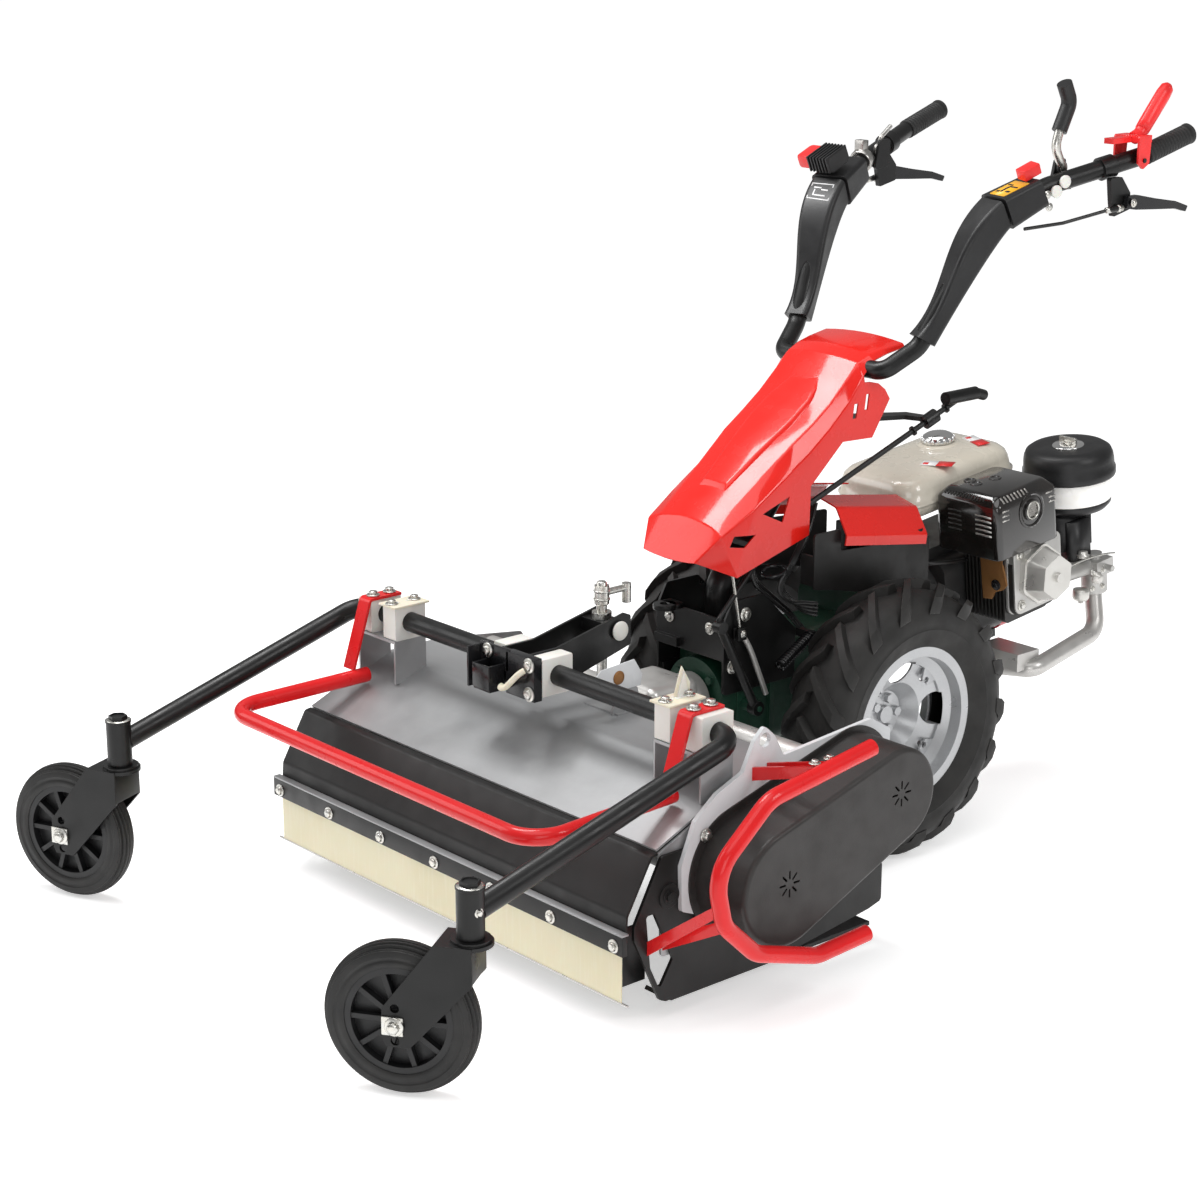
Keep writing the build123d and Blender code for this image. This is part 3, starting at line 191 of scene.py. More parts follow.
def shade(colour, times, plus=0.0):
    """A colour made darker or lighter."""
    return tuple(c * times + plus for c in colour)


def enamel(name, colour, worn, roughness=0.3, coat=0.9):
    """Glossy sprayed enamel: faint orange peel, pale worn edges."""
    made = Shader(name, colour, roughness, coat=coat)
    made.gloss(0.16)
    made.mottle(shade(colour, 0.82), 9, 0.5)
    made.edges(worn, 0.25, 2.0)
    made.grain(420, 0.06, 0.25)
    return made.done()


def powder_coat(name, colour=(0.005, 0.005, 0.005), roughness=0.36, peel=0.14, worn=0.35):
    """Black powder coat: fine peel, slightly greyed edges and dusty patches."""
    made = Shader(name, colour, roughness)
    made.gloss(0.34)
    made.mottle(shade(colour, 1.9, 0.002), 14, 0.4)
    made.edges((0.075, 0.073, 0.07), worn, 1.6)
    made.grain(650, peel, 0.45)
    return made.done(0.09)


def moulded(name, colour, roughness=0.5, depth=0.25, scale=900):
    """Moulded plastic with a leather-like grain."""
    made = Shader(name, colour, roughness)
    made.gloss(0.42)
    made.mottle(shade(colour, 1.7, 0.003), 20, 0.5)
    made.grain(scale, depth, 0.6, 2)
    made.edges(shade(colour, 2, 0.012), 0.2, 1.5)
    return made.done(0.08)


def zinc_plate(name):
    """Zinc plate: bright, slightly iridescent, blotched."""
    made = Shader(name, (0.62, 0.62, 0.6), 0.3, 1.0)
    made.mottle((0.72, 0.68, 0.58), 90, 0.6)
    made.blend(made.ranged(made.cells(700), 0, 0.25, 0.2, 0.8), (0.4, 0.4, 0.4))
    made.grain(900, 0.05, 0.3)
    return made.done(0.1, 120)


def galvanised(name):
    """Galvanised sheet: broad spangle, faint streaks of rolling."""
    made = Shader(name, (0.33, 0.335, 0.34), 0.4, 0.5)
    made.blend(made.ranged(made.cells(60), 0, 0.12, 0.1, 0.9), (0.42, 0.425, 0.43))
    made.blend(made.ranged(made.cells(150), 0, 0.10, 0.1, 0.9), (0.26, 0.265, 0.27))
    made.blend(made.ranged(made.noise(4, 4, (0.3, 3, 3)), 0, 0.3), (0.46, 0.46, 0.465))
    made.grain(9, 0.5, 0.12, 1)
    return made.done(0.07, 14)


def cast(name, colour, roughness=0.55, metallic=0.0, depth=0.5, oily=(0.02, 0.02, 0.02), stain=0.5):
    """A casting: sand-rough skin, darker where oil and dirt have settled."""
    made = Shader(name, colour, roughness, metallic)
    made.mottle(oily, 16, stain)
    made.edges([min(c, 1) for c in shade(colour, 1.7, 0.03)], 0.4, 2.5)
    made.grain(520, depth, 0.5)
    made.grain(90, depth * 1.5, 0.3)
    return made.done(0.12)


def rubber(name, colour=(0.010, 0.0095, 0.009), roughness=0.6):
    """Tyre rubber: matt, scuffed grey and a little dusty."""
    made = Shader(name, colour, roughness)
    made.gloss(0.38)
    made.mottle((0.028, 0.026, 0.024), 22, 0.5, 8)
    made.edges((0.05, 0.047, 0.043), 0.45, 4.0)
    made.grain(300, 0.35, 0.35, 6)
    made.grain(1500, 0.12, 0.4)
    return made.done(0.1)


def machined_steel(name):
    """Machined steel with fine turning marks."""
    made = Shader(name, (0.5, 0.49, 0.47), 0.32, 1.0)
    made.mottle((0.3, 0.28, 0.26), 30, 0.5)
    made.grain(300, 0.06, 0.4, 3, (12, 1, 12))
    return made.done(0.1, 80)


def silver_lacquer(name):
    """Silver lacquer of the drive rims."""
    made = Shader(name, (0.44, 0.45, 0.46), 0.33, 0.6, 0.4)
    made.mottle((0.42, 0.42, 0.43), 12, 0.5)
    made.blend(made.ranged(made.cells(1600), 0, 0.2), (0.66, 0.66, 0.67))
    made.edges((0.3, 0.29, 0.28), 0.5, 2.0)
    made.grain(500, 0.08, 0.3)
    return made.done()


def cream_lacquer(name):
    """Cream lacquer of the fuel tank."""
    made = Shader(name, (0.70, 0.655, 0.56), 0.28, coat=0.8)
    made.mottle((0.60, 0.545, 0.44), 7, 0.55)
    made.edges((0.45, 0.4, 0.33), 0.25, 2.5)
    made.grain(350, 0.06, 0.25)
    return made.done()


def flap_sheet(name):
    """The cream, milky sheet of the front flap, scuffed by stems."""
    made = Shader(name, (0.86, 0.80, 0.58), 0.42)
    made.milky(0.15, 0.004, 0.12)
    made.mottle((0.74, 0.67, 0.44), 6, 0.5)
    made.blend(made.ranged(made.noise(26, 6, (6, 1, 0.5)), 0, 0.3, 0.5, 0.75), (0.93, 0.9, 0.76))
    made.grain(60, 0.35, 0.3, 4, (1, 1, 0.2))
    return made.done(0.08, 12)


def nylon(name, colour=(0.80, 0.79, 0.75)):
    """White wear-block plastic with saw marks."""
    made = Shader(name, colour, 0.45)
    made.milky(0.1, 0.003)
    made.mottle((0.66, 0.64, 0.58), 18, 0.45)
    made.edges((0.9, 0.89, 0.86), 0.4, 2.0)
    made.grain(220, 0.18, 0.4, 3, (1, 6, 1))
    return made.done()


def polished(name, colour, roughness, patches, grain, swing, metallic=0.0, coat=0.0):
    """A smooth glossy skin: faint patches and next to no relief."""
    made = Shader(name, colour, roughness, metallic, coat)
    made.mottle(*patches)
    made.grain(*grain)
    return made.done(swing)


M_RED = enamel("red_enamel", (0.78, 0.016, 0.010), (0.85, 0.30, 0.26), 0.26, 0.6)
M_BAR_RED = enamel("red_tube_enamel", (0.70, 0.014, 0.016), (0.8, 0.35, 0.3), 0.3, 0.35)
M_COIL_RED = enamel("recoil_red", (0.62, 0.008, 0.03), (0.75, 0.3, 0.3), 0.34, 0.7)
M_CAP_RED = moulded("red_plastic", (0.66, 0.02, 0.02), 0.32, 0.06, 700)
M_BLACK = powder_coat("black_powder_coat")
M_BLACK_GLOSS = powder_coat("black_gloss_coat", (0.009, 0.009, 0.01), 0.2, 0.06, 0.25)
M_BLACK_PANEL = powder_coat("black_panel_coat", (0.0075, 0.007, 0.0068), 0.42, 0.2, 0.3)
M_GUARD_BLACK = polished(
    "muffler_enamel", (0.008, 0.0075, 0.007), 0.14,
    ((0.02, 0.015, 0.012), 30, 0.5), (300, 0.1, 0.3), 0.05, coat=0.6,
)
M_CHROME = polished(
    "chrome", (0.78, 0.78, 0.77), 0.1, ((0.62, 0.62, 0.62), 60, 0.5), (200, 0.05, 0.25), 0.04, metallic=1.0,
)
M_PLASTIC = moulded("black_plastic", (0.008, 0.008, 0.0085), 0.42, 0.12)
M_GUARD_PLASTIC = moulded("belt_guard_plastic", (0.018, 0.016, 0.015), 0.46, 0.35, 700)
M_GRIP = moulded("grip_rubber", (0.012, 0.012, 0.012), 0.6, 0.2, 1200)
M_RUBBER = rubber("tyre_rubber")
M_CASTER_RUBBER = rubber("caster_rubber", (0.010, 0.010, 0.010), 0.5)
M_CABLE = moulded("cable_sleeve", (0.01, 0.01, 0.01), 0.3, 0.05, 1500)
M_GALVANISED = galvanised("galvanised_sheet")
M_ZINC = zinc_plate("zinc_plate")
M_ALUMINIUM = cast("cast_aluminium", (0.55, 0.545, 0.53), 0.42, 0.75, 0.3, (0.3, 0.29, 0.27), 0.4)
M_COVER_SILVER = cast("rocker_cover_silver", (0.66, 0.65, 0.62), 0.34, 0.7, 0.2, (0.5, 0.48, 0.45), 0.35)
M_TUBE_SILVER = cast("bumper_silver", (0.60, 0.59, 0.57), 0.36, 0.6, 0.15, (0.42, 0.4, 0.38), 0.4)
M_GREEN = cast("green_gearbox", (0.008, 0.055, 0.03), 0.45, 0.0, 0.6, (0.006, 0.02, 0.012), 0.6)
M_BLOCK_IRON = cast("black_cylinder", (0.014, 0.0135, 0.013), 0.4, 0.2, 0.3, (0.03, 0.028, 0.025), 0.4)
M_BRONZE = cast("bronze_shroud", (0.36, 0.17, 0.055), 0.42, 0.45, 0.3, (0.22, 0.1, 0.035), 0.5)
M_DARK_CASE = cast("dark_crankcase", (0.055, 0.055, 0.055), 0.45, 0.35, 0.4)
M_RIM = silver_lacquer("silver_lacquer")
M_CREAM = cream_lacquer("cream_lacquer")
M_FLAP = flap_sheet("flap_sheet")
M_NYLON = nylon("white_nylon")
M_NYLON_PLATE = nylon("ivory_plate", (0.78, 0.72, 0.55))
M_WHITE_PLATE = enamel("white_plate_enamel", (0.72, 0.735, 0.75), (0.5, 0.5, 0.5), 0.32, 0.4)
M_WHITE_BAND = moulded("white_plastic", (0.90, 0.89, 0.86), 0.35, 0.05, 500)
M_YELLOW = moulded("yellow_label", (0.83, 0.42, 0.02), 0.3, 0.02, 400)
M_WHITE_INK = moulded("white_ink", (0.78, 0.78, 0.78), 0.4, 0.02, 400)
M_STEEL = machined_steel("machined_steel")
M_BELT = rubber("belt_rubber", (0.01, 0.01, 0.01), 0.7)
M_AMBER = moulded("amber_plastic", (0.75, 0.18, 0.09), 0.3, 0.03, 500)

NODE_MATERIALS = {
    M_GREEN: ["gearbox_housing"],
    M_BLACK: [
        "front_frame", "selector_rocker", "steering_column", "handlebar_tube", "caster_frame", "jack_lever",
        "left_caster_fork", "right_caster_fork", "gear_rod", "flail_rotor",
    ],
    M_BLACK_PANEL: ["mudguards", "front_panel", "side_plates"],
    M_RED: ["fender_caps", "hood"],
    M_BAR_RED: ["guard_bar", "bumper_bar"],
    M_COIL_RED: ["recoil_cover"],
    M_CAP_RED: ["clutch_lever"],
    M_DARK_CASE: ["engine_crankcase"],
    M_TUBE_SILVER: ["engine_bumper", "deck_gearbox"],
    M_BLOCK_IRON: ["engine_cylinder", "muffler"],
    M_COVER_SILVER: ["valve_cover"],
    M_CREAM: ["fuel_tank"],
    M_CHROME: ["fuel_cap"],
    M_GUARD_BLACK: ["muffler_guard"],
    M_PLASTIC: [
        "air_cleaner_body", "air_cleaner_cap", "starter_grip", "stop_switch", "arm_covers",
        "left_caster_rim", "right_caster_rim", "reverser_lever",
    ],
    M_ZINC: ["wing_nut", "jack_crank"],
    M_ALUMINIUM: ["carburettor"],
    M_CABLE: ["control_cables", "arm_cables"],
    M_RUBBER: ["left_drive_tyre", "right_drive_tyre"],
    M_CASTER_RUBBER: ["left_caster_tyre", "right_caster_tyre"],
    M_RIM: ["left_drive_rim", "right_drive_rim"],
    M_GRIP: ["grips"],
    M_BLACK_GLOSS: ["left_brake_lever", "right_brake_lever"],
    M_STEEL: ["throttle_lever", "drive_pulley", "flail_knives"],
    M_GALVANISED: ["deck_shell"],
    M_FLAP: ["front_flap"],
    M_WHITE_PLATE: ["guard_backplate"],
    M_GUARD_PLASTIC: ["belt_guard"],
    M_NYLON: ["pivot_blocks"],
    M_BELT: ["drive_belt"],
}


def dress_nodes():
    """Gives every CAD node its material."""
    for material, names in NODE_MATERIALS.items():
        for name in names:
            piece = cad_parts[name]
            for index in range(len(piece.data.materials)):
                piece.data.materials[index] = material


# ---- shapes ----
def put(name, data):
    """Adds an object to the scene."""
    made = bpy.data.objects.new(name, data)
    bpy.context.scene.collection.objects.link(made)
    return made


def put_mesh(name, mesh, material=None):
    """Turns a bmesh in frame metres into an object of one material."""
    data = bpy.data.meshes.new(name)
    bmesh.ops.recalc_face_normals(mesh, faces=mesh.faces)
    mesh.to_mesh(data)
    mesh.free()
    if material:
        data.materials.append(material)
    return put(name, data)


def add_piece(name, mesh, material, body):
    """A bmesh as a piece that rides on a body."""
    piece = put_mesh(name, mesh, material)
    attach(piece, body)
    return piece


def node_piece(name, mesh, material, body, node, sharp=40, replaces=False):
    """A smoothed piece that rides on a body and may replace a CAD node."""
    smooth(mesh, sharp)
    piece = add_piece(name, mesh, material, body)
    if replaces:
        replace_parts(piece, node)
    return piece


def smooth(mesh, angle):
    """Smooth shading, with edges sharper than an angle kept sharp."""
    limit = math.radians(angle)
    for face in mesh.faces:
        face.smooth = True
    for edge in mesh.edges:
        edge.smooth = len(edge.link_faces) == 2 and edge.calc_face_angle(0) < limit


def round_off(mesh, width, angle, segments=2):
    """Bevels every edge sharper than an angle. The width is in millimetres."""
    limit = math.radians(angle)
    sharp = [e for e in mesh.edges if len(e.link_faces) == 2 and e.calc_face_angle(0) > limit]
    bmesh.ops.bevel(
        mesh, geom=sharp, offset=width * MM, segments=segments, profile=0.6, affect="EDGES", clamp_overlap=True
    )


def walls(mesh, low, high, wrap=True):
    """The faces between two rings, or rows, of points."""
    count = len(low)
    for index in range(count if wrap else count - 1):
        after = (index + 1) % count
        mesh.faces.new((low[index], low[after], high[after], high[index]))


def lofted(mesh, rings, closed_ends=True, wrap=True):
    """Skins a stack of rings that have the same number of points."""
    made = [[mesh.verts.new(point) for point in ring] for ring in rings]
    for low, high in zip(made, made[1:]):
        walls(mesh, low, high, wrap)
    if closed_ends:
        mesh.faces.new(list(reversed(made[0])))
        mesh.faces.new(made[-1])
    return made


def circle(place, radius, height, segments, wide=1.0):
    """Points round a circle, or an oval, at a height over a placing matrix."""
    turns = (2 * math.pi * step / segments for step in range(segments))
    return [place @ Vector((radius * wide * math.cos(a), radius * math.sin(a), height)) for a in turns]


def side_on(x=0):
    """A placing matrix for outlines in a plane of constant x: local X is the machine's Y, local Y its Z."""
    return Matrix(((0, 0, 1, x), (1, 0, 0, 0), (0, 1, 0, 0), (0, 0, 0, 1)))


def upright(axis):
    """A rotation that turns +Z to an axis."""
    return Vector(axis).normalized().to_track_quat("Z", "Y").to_matrix().to_4x4()


def turned(mesh, place, profile, segments, closed=False):
    """Revolves (radius, height) points about the local Z of a placing matrix, in millimetres."""
    rings = [circle(place, radius, height, segments) for radius, height in profile]
    if closed:
        rings.append(rings[0])
    made = lofted(mesh, rings, closed_ends=not closed)
    if closed:
        bmesh.ops.remove_doubles(mesh, verts=made[0] + made[-1], dist=1e-7)


def spun(place, profile, segments, closed=False):
    """A new bmesh with one turned shape in it."""
    mesh = bmesh.new()
    turned(mesh, place, profile, segments, closed)
    return mesh


def slab(mesh, place, outline, thickness):
    """A plate: an outline in the local XY of a placing matrix, raised along its Z."""
    low = [mesh.verts.new(place @ Vector((x, y, 0))) for x, y in outline]
    high = [mesh.verts.new(place @ Vector((x, y, thickness))) for x, y in outline]
    mesh.faces.new(list(reversed(low)))
    mesh.faces.new(high)
    walls(mesh, low, high)


def rounded_box(cx, cy, half_x, half_y, radius, steps=6):
    """Points round a rectangle with round corners."""
    points = []
    for corner, (sx, sy) in enumerate(((1, 1), (-1, 1), (-1, -1), (1, -1))):
        for step in range(steps + 1):
            turn = math.pi / 2 * (corner + step / steps)
            points.append((
                cx + sx * (half_x - radius) + radius * math.cos(turn),
                cy + sy * (half_y - radius) + radius * math.sin(turn),
            ))
    return points


def tube(name, route, radius, material, body, sides=6):
    """A round line along given points, in millimetres, as a bevelled curve."""
    curve = bpy.data.curves.new(name, "CURVE")
    curve.dimensions = "3D"
    curve.bevel_depth = radius * MM
    curve.bevel_resolution = sides
    curve.use_fill_caps = True
    spline = curve.splines.new("NURBS")
    spline.points.add(len(route) - 1)
    for point, spot in zip(spline.points, route):
        point.co = (*at(*spot), 1)
    spline.order_u = 3
    spline.use_endpoint_u = True
    spline.resolution_u = 8
    curve.materials.append(material)
    piece = put(name, curve)
    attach(piece, body)
    return piece


def bolts(name, spots, body, across=10, head=6, washer=1.0, place=TO_FRAME, material=M_ZINC):
    """Hexagon bolts on washers: each spot is a point and the way its head faces."""
    mesh = bmesh.new()
    for spot, axis in spots:
        own = place @ Matrix.Translation(spot) @ upright(axis)
        radius = across / 2 / math.cos(math.pi / 6)
        turned(mesh, own, [(across * 0.86, 0), (across * 0.86, 1.4 * washer), (across * 0.8, 1.8 * washer)], 24)
        rings = [(radius, 1.8), (radius, head * 0.84), (radius * 0.9, head), (radius * 0.3, head + 0.2)]
        turned(mesh, own, rings, 6)
    smooth(mesh, 20)
    return add_piece(name, mesh, material, body)


def part(name, mesh, material, body, soften=0.0, sharp=32):
    """Rounds a piece's edges, shades it, and gives it the finish that goes with its material."""
    if soften:
        bmesh.ops.recalc_face_normals(mesh, faces=mesh.faces)
        round_off(mesh, soften, 40, 2)
    smooth(mesh, sharp)
    return add_piece(name, mesh, material, body)


def cuboid(mesh, low, high, place=TO_FRAME):
    """A box between two corners in a placing matrix's millimetres."""
    outline = [(low[0], low[1]), (high[0], low[1]), (high[0], high[1]), (low[0], high[1])]
    slab(mesh, moved(place, 0, 0, low[2]), outline, high[2] - low[2])


def blocks(name, boxes, material, body, soften=1.5, place=TO_FRAME):
    """One piece made of boxes, each two corners."""
    mesh = bmesh.new()
    for low, high in boxes:
        cuboid(mesh, low, high, place)
    return part(name, mesh, material, body, soften)


def discs(name, spots, profile, material, body, place=TO_FRAME, segments=32):
    """The same turned shape at several spots, each a point and the way it faces."""
    mesh = bmesh.new()
    for spot, axis in spots:
        turned(mesh, place @ Matrix.Translation(spot) @ upright(axis), profile, segments)
    return part(name, mesh, material, body)


def facing(origin, along, normal):
    """A placing matrix in millimetres: local Y runs along a line and Z faces out of a surface."""
    up = Vector(normal).normalized()
    ahead = Vector(along) - up * Vector(along).dot(up)
    ahead.normalize()
    across = ahead.cross(up)
    turn = Matrix((across, ahead, up)).transposed().to_4x4()
    return TO_FRAME @ Matrix.Translation(origin) @ turn


def draped(mesh, node, place, outline, lift):
    """A thin sheet whose points are dropped along local -Z on to a CAD node, then raised a little."""
    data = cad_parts[node].data
    tree = BVHTree.FromPolygons([v.co for v in data.vertices], [tuple(f.vertices) for f in data.polygons])
    down = -(place.to_3x3() @ Vector(UP)).normalized()
    top, foot = [], []
    for x, y in outline:
        start = place @ Vector((x, y, 60))
        hit = tree.ray_cast(start, down)[0] or start
        top.append(mesh.verts.new(hit - down * lift * MM))
        foot.append(mesh.verts.new(hit + down * 0.3 * MM))
    mesh.faces.new(top)
    mesh.faces.new(list(reversed(foot)))
    walls(mesh, foot, top)


# ---- drive tyres ----
BAR_COUNT = 17
BAR_HEIGHT = 17.0
TREAD_R = 245
CARCASS = [
    (128.5, 38), (128.5, 43), (140, 47), (150, 54), (153, 55), (158, 58), (176, 63.5), (178, 62.6), (186, 64),
    (206, 61), (222, 53), (232, 38), (237, 20), (238, 0),
]
BAR_PATH = [(0.0, -3, 255), (0.3, 20, 252.5), (0.62, 42, 245.5), (0.86, 56.5, 234), (1.0, 62, 219)]


def tread_bar(mesh, place, side, turn):
    """One slanted tread bar, from the middle of the tread down to the shoulder."""
    rings = []
    for along, across, top in BAR_PATH:
        lead = turn + 0.34 * along
        half = 8.0 + 3.5 * along
        foot = top - BAR_HEIGHT + 3 * along
        ring = []
        for radius, width in ((foot, half + 5), (top, half), (top, -half), (foot, -half - 5)):
            angle = lead + width / TREAD_R
            ring.append(place @ Vector((radius * math.cos(angle), radius * math.sin(angle), side * across)))
        rings.append(ring)
    lofted(mesh, rings)


def drive_tyre(side, word):
    """A tractor tyre: ribbed side walls and two rows of slanted bars."""
    centre = TO_FRAME.inverted() @ middle(f"{word}_drive_tyre")
    place = TO_FRAME @ Matrix.Translation(centre) @ upright(OUT)
    mesh = bmesh.new()
    profile = CARCASS + [(radius, -height) for radius, height in reversed(CARCASS[:-1])]
    inner = [(146, -38), (188, -55), (222, -48), (232, 0), (222, 48), (188, 55), (146, 38)]
    turned(mesh, place, profile + inner, 96, closed=True)
    bars = bmesh.new()
    for index in range(BAR_COUNT):
        turn = 2 * math.pi * index / BAR_COUNT
        tread_bar(bars, place, 1, turn)
        tread_bar(bars, place, -1, turn + math.pi / BAR_COUNT)
    round_off(bars, 2.2, 40)
    node_piece(f"{word}_tyre_carcass", mesh, M_RUBBER, f"{word}_wheel", f"{word}_drive_tyre", 40, True)
    node_piece(f"{word}_tyre_tread", bars, M_RUBBER, f"{word}_wheel", f"{word}_drive_tyre", 30)


# ---- hood ----
RIDGE = [
    (-317, 632, 66), (-217, 705, 77), (-145, 758, 86), (-100, 786, 88), (-58, 816, 88), (-18, 852, 87),
    (12, 881, 86), (40, 893, 87), (70, 899, 91), (118, 905, 97),
]
HOOD_NOSE = (66, -359, 576)
HOOD_SIDE_X = 103
SHOULDER = [
    (-322, 622, 94), (-250, 662, 103), (-163, 713, 103), (-116, 742, 103), (-70, 776, 103), (-24, 817, 103),
    (8, 860, 103), (40, 884, 100), (72, 892, 100), (118, 899, 101),
]
SIDE_FROM, SIDE_TO = 1, 6
SIDE_EDGE = [
    (15, 848), (30, 847), (50, 842), (68, 829), (81, 810), (38, 745), (-37, 748), (-115, 680),
    (-117, 592), (-292, 553),
]
CROWN = 7.0
HOOD_SHEET = 3.0
HOOD_OPENINGS = [
    [(-296, 619), (-248, 615), (-274, 596), (-306, 601)],
    [(-167, 670), (-232, 649), (-183, 626)],
    [(16, 798), (24, 798), (28, 826), (20, 826)],
    [(-14, 786), (-4, 786), (0, 812), (-10, 812)],
]


def hood_top(across, y):
    """A point on the hood's crowned top: across runs -1 to 1, y along the machine."""
    for (y0, z0, w0), (y1, z1, w1) in zip(RIDGE, RIDGE[1:]):
        if y <= y1:
            break
    part = (y - y0) / (y1 - y0)
    width = w0 + (w1 - w0) * part
    height = z0 + (z1 - z0) * part
    return Vector((across * width, y, height + CROWN * (1 - across * across)))


def hood():
    """The faceted red hood, one folded sheet with openings low in its sides."""
    mesh = bmesh.new()
    columns = [-1, -0.75, -0.5, -0.25, 0, 0.25, 0.5, 0.75, 1]
    nose = [Vector((a * HOOD_NOSE[0], HOOD_NOSE[1], HOOD_NOSE[2] - 5 * (1 - a * a))) for a in columns]
    rows = [nose] + [[hood_top(a, y) for a in columns] for y, _, _ in RIDGE]
    made = lofted(mesh, [[TO_FRAME @ p for p in row] for row in rows], closed_ends=False, wrap=False)
    for side, column in ((LEFT, -1), (RIGHT, 0)):
        nose_corner, *top = [row[column] for row in made]
        low = [mesh.verts.new(at(side * x, y, z)) for y, z, x in SHOULDER]
        edge = [mesh.verts.new(at(side * HOOD_SIDE_X, y, z)) for y, z in SIDE_EDGE]
        for index in range(len(low) - 1):
            mesh.faces.new((top[index], top[index + 1], low[index + 1], low[index]))
        mesh.faces.new((nose_corner, top[0], low[0]))
        mesh.faces.new((nose_corner, low[0], edge[-1]))
        mesh.faces.new((low[0], low[1], edge[-1]))
        mesh.faces.new(low[SIDE_FROM:SIDE_TO + 1] + edge)
    bmesh.ops.recalc_face_normals(mesh, faces=mesh.faces)
    round_off(mesh, 3.2, 9, 3)
    piece = add_piece("hood_shell", mesh, M_RED, "column")
    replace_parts(piece, "hood")
    cutter_mesh = bmesh.new()
    for side in (LEFT, RIGHT):
        for outline in HOOD_OPENINGS:
            slab(cutter_mesh, TO_FRAME @ side_on(side * 90), outline, side * 26)
    cutter = put_mesh("cutter", cutter_mesh)
    thick = piece.modifiers.new("sheet", "SOLIDIFY")
    thick.thickness = HOOD_SHEET * MM
    thick.offset = -1
    cut = piece.modifiers.new("openings", "BOOLEAN")
    cut.object = cutter
    cut.solver = "EXACT"
    apply_modifiers(piece)
    bpy.data.objects.remove(cutter)


def apply_modifiers(piece):
    """Replaces a piece's mesh by what its modifiers make of it, shaded smooth between sharp folds."""
    bpy.context.view_layer.update()
    evaluated = piece.evaluated_get(bpy.context.evaluated_depsgraph_get())
    data = bpy.data.meshes.new_from_object(evaluated)
    piece.modifiers.clear()
    piece.data = data
    mesh = bmesh.new()
    mesh.from_mesh(data)
    bmesh.ops.remove_doubles(mesh, verts=mesh.verts, dist=1e-6)
    smooth(mesh, 28)
    mesh.to_mesh(data)
    mesh.free()


HOOD_PANEL = [(-258, 0.46), (-186, 0.54), (-115, 0.62), (-72, 0.60), (-45, 0.50), (-24, 0.34)]
PANEL_RISE = [5.5, 7.5, 8.0, 7.0, 4.0, 0.5]


def hood_panel():
    """The raised panel down the middle of the hood."""
    mesh = bmesh.new()
    rings = []
    for inset, lift in ((0.0, -3.0), (0.0, 0.0), (0.075, 1.0)):
        ring = []
        for sign, stations in ((1, HOOD_PANEL), (-1, HOOD_PANEL[::-1])):
            rises = PANEL_RISE if sign == 1 else PANEL_RISE[::-1]
            for (y, half), rise in zip(stations, rises):
                shift = 120 * inset * (1 if y < -250 else -1 if y > -30 else 0)
                point = hood_top(sign * (half - inset), y + shift)
                ring.append(TO_FRAME @ (point + Vector((0, 0, lift if lift <= 0 else rise))))
        rings.append(ring)
    made = lofted(mesh, rings, closed_ends=False)
    crest = made[-1]
    count = len(HOOD_PANEL)
    for index in range(count - 1):
        mesh.faces.new((crest[index], crest[index + 1], crest[-2 - index], crest[-1 - index]))
    bmesh.ops.recalc_face_normals(mesh, faces=mesh.faces)
    round_off(mesh, 2.5, 12, 2)
    node_piece("hood_panel", mesh, M_RED, "column", "hood", 50)


# ---- engine ----
def pressed(mesh, centre, half, stations, steps):
    """A pressed box in the engine's millimetres: round-cornered outlines at (height, inset, corner radius)."""
    rings = []
    for height, inset, radius in stations:
        outline = rounded_box(*centre, half[0] - inset, half[1] - inset, radius, steps)
        rings.append([TO_ENGINE @ Vector((x, y, height)) for x, y in outline])
    lofted(mesh, rings)


TANK_MIDDLE, TANK_HALF = (-29, 228.5), (101, 156.5)
TANK_RINGS = [
    (176, 34, 30), (180, 16, 40), (188, 5, 44), (200, 1, 46), (205, 0, 46), (206, -4, 48), (210, -4, 48),
    (211, 0, 46), (232, 2, 46), (244, 6, 46), (252, 14, 44), (257, 26, 40), (260, 44, 34), (261.5, 66, 26),
]


def fuel_tank():
    """The cream tank: two pressed halves joined by a seam flange, with a neck for the cap."""
    mesh = bmesh.new()
    pressed(mesh, TANK_MIDDLE, TANK_HALF, TANK_RINGS, 8)
    neck = moved(TO_ENGINE, -45, 285, 256)
    turned(mesh, neck, [(44, 0), (42, 5), (36, 8), (33, 8.4), (24, 8.4)], 40)
    node_piece("tank_shell", mesh, M_CREAM, "chassis", "fuel_tank", 40, True)


def fuel_cap():
    """The chrome cap: a domed top with a scalloped skirt."""
    place = moved(TO_ENGINE, -45, 285, 264.6)
    mesh = spun(place, [(25, 0), (31, 0), (32, 3), (31, 8), (27, 14), (20, 17), (10, 18.5), (2, 19)], 48)
    for index in range(16):
        turn = Matrix.Rotation(2 * math.pi * index / 16, 4, "Z") @ Matrix.Translation((30.6, 0, 1))
        turned(mesh, place @ turn, [(2.6, 0), (2.8, 7), (1.6, 10)], 10)
    node_piece("fuel_cap_chrome", mesh, M_CHROME, "tank_cap", "fuel_cap", 40, True)


CLEANER_AT = Matrix.Translation((150, 434, 0))


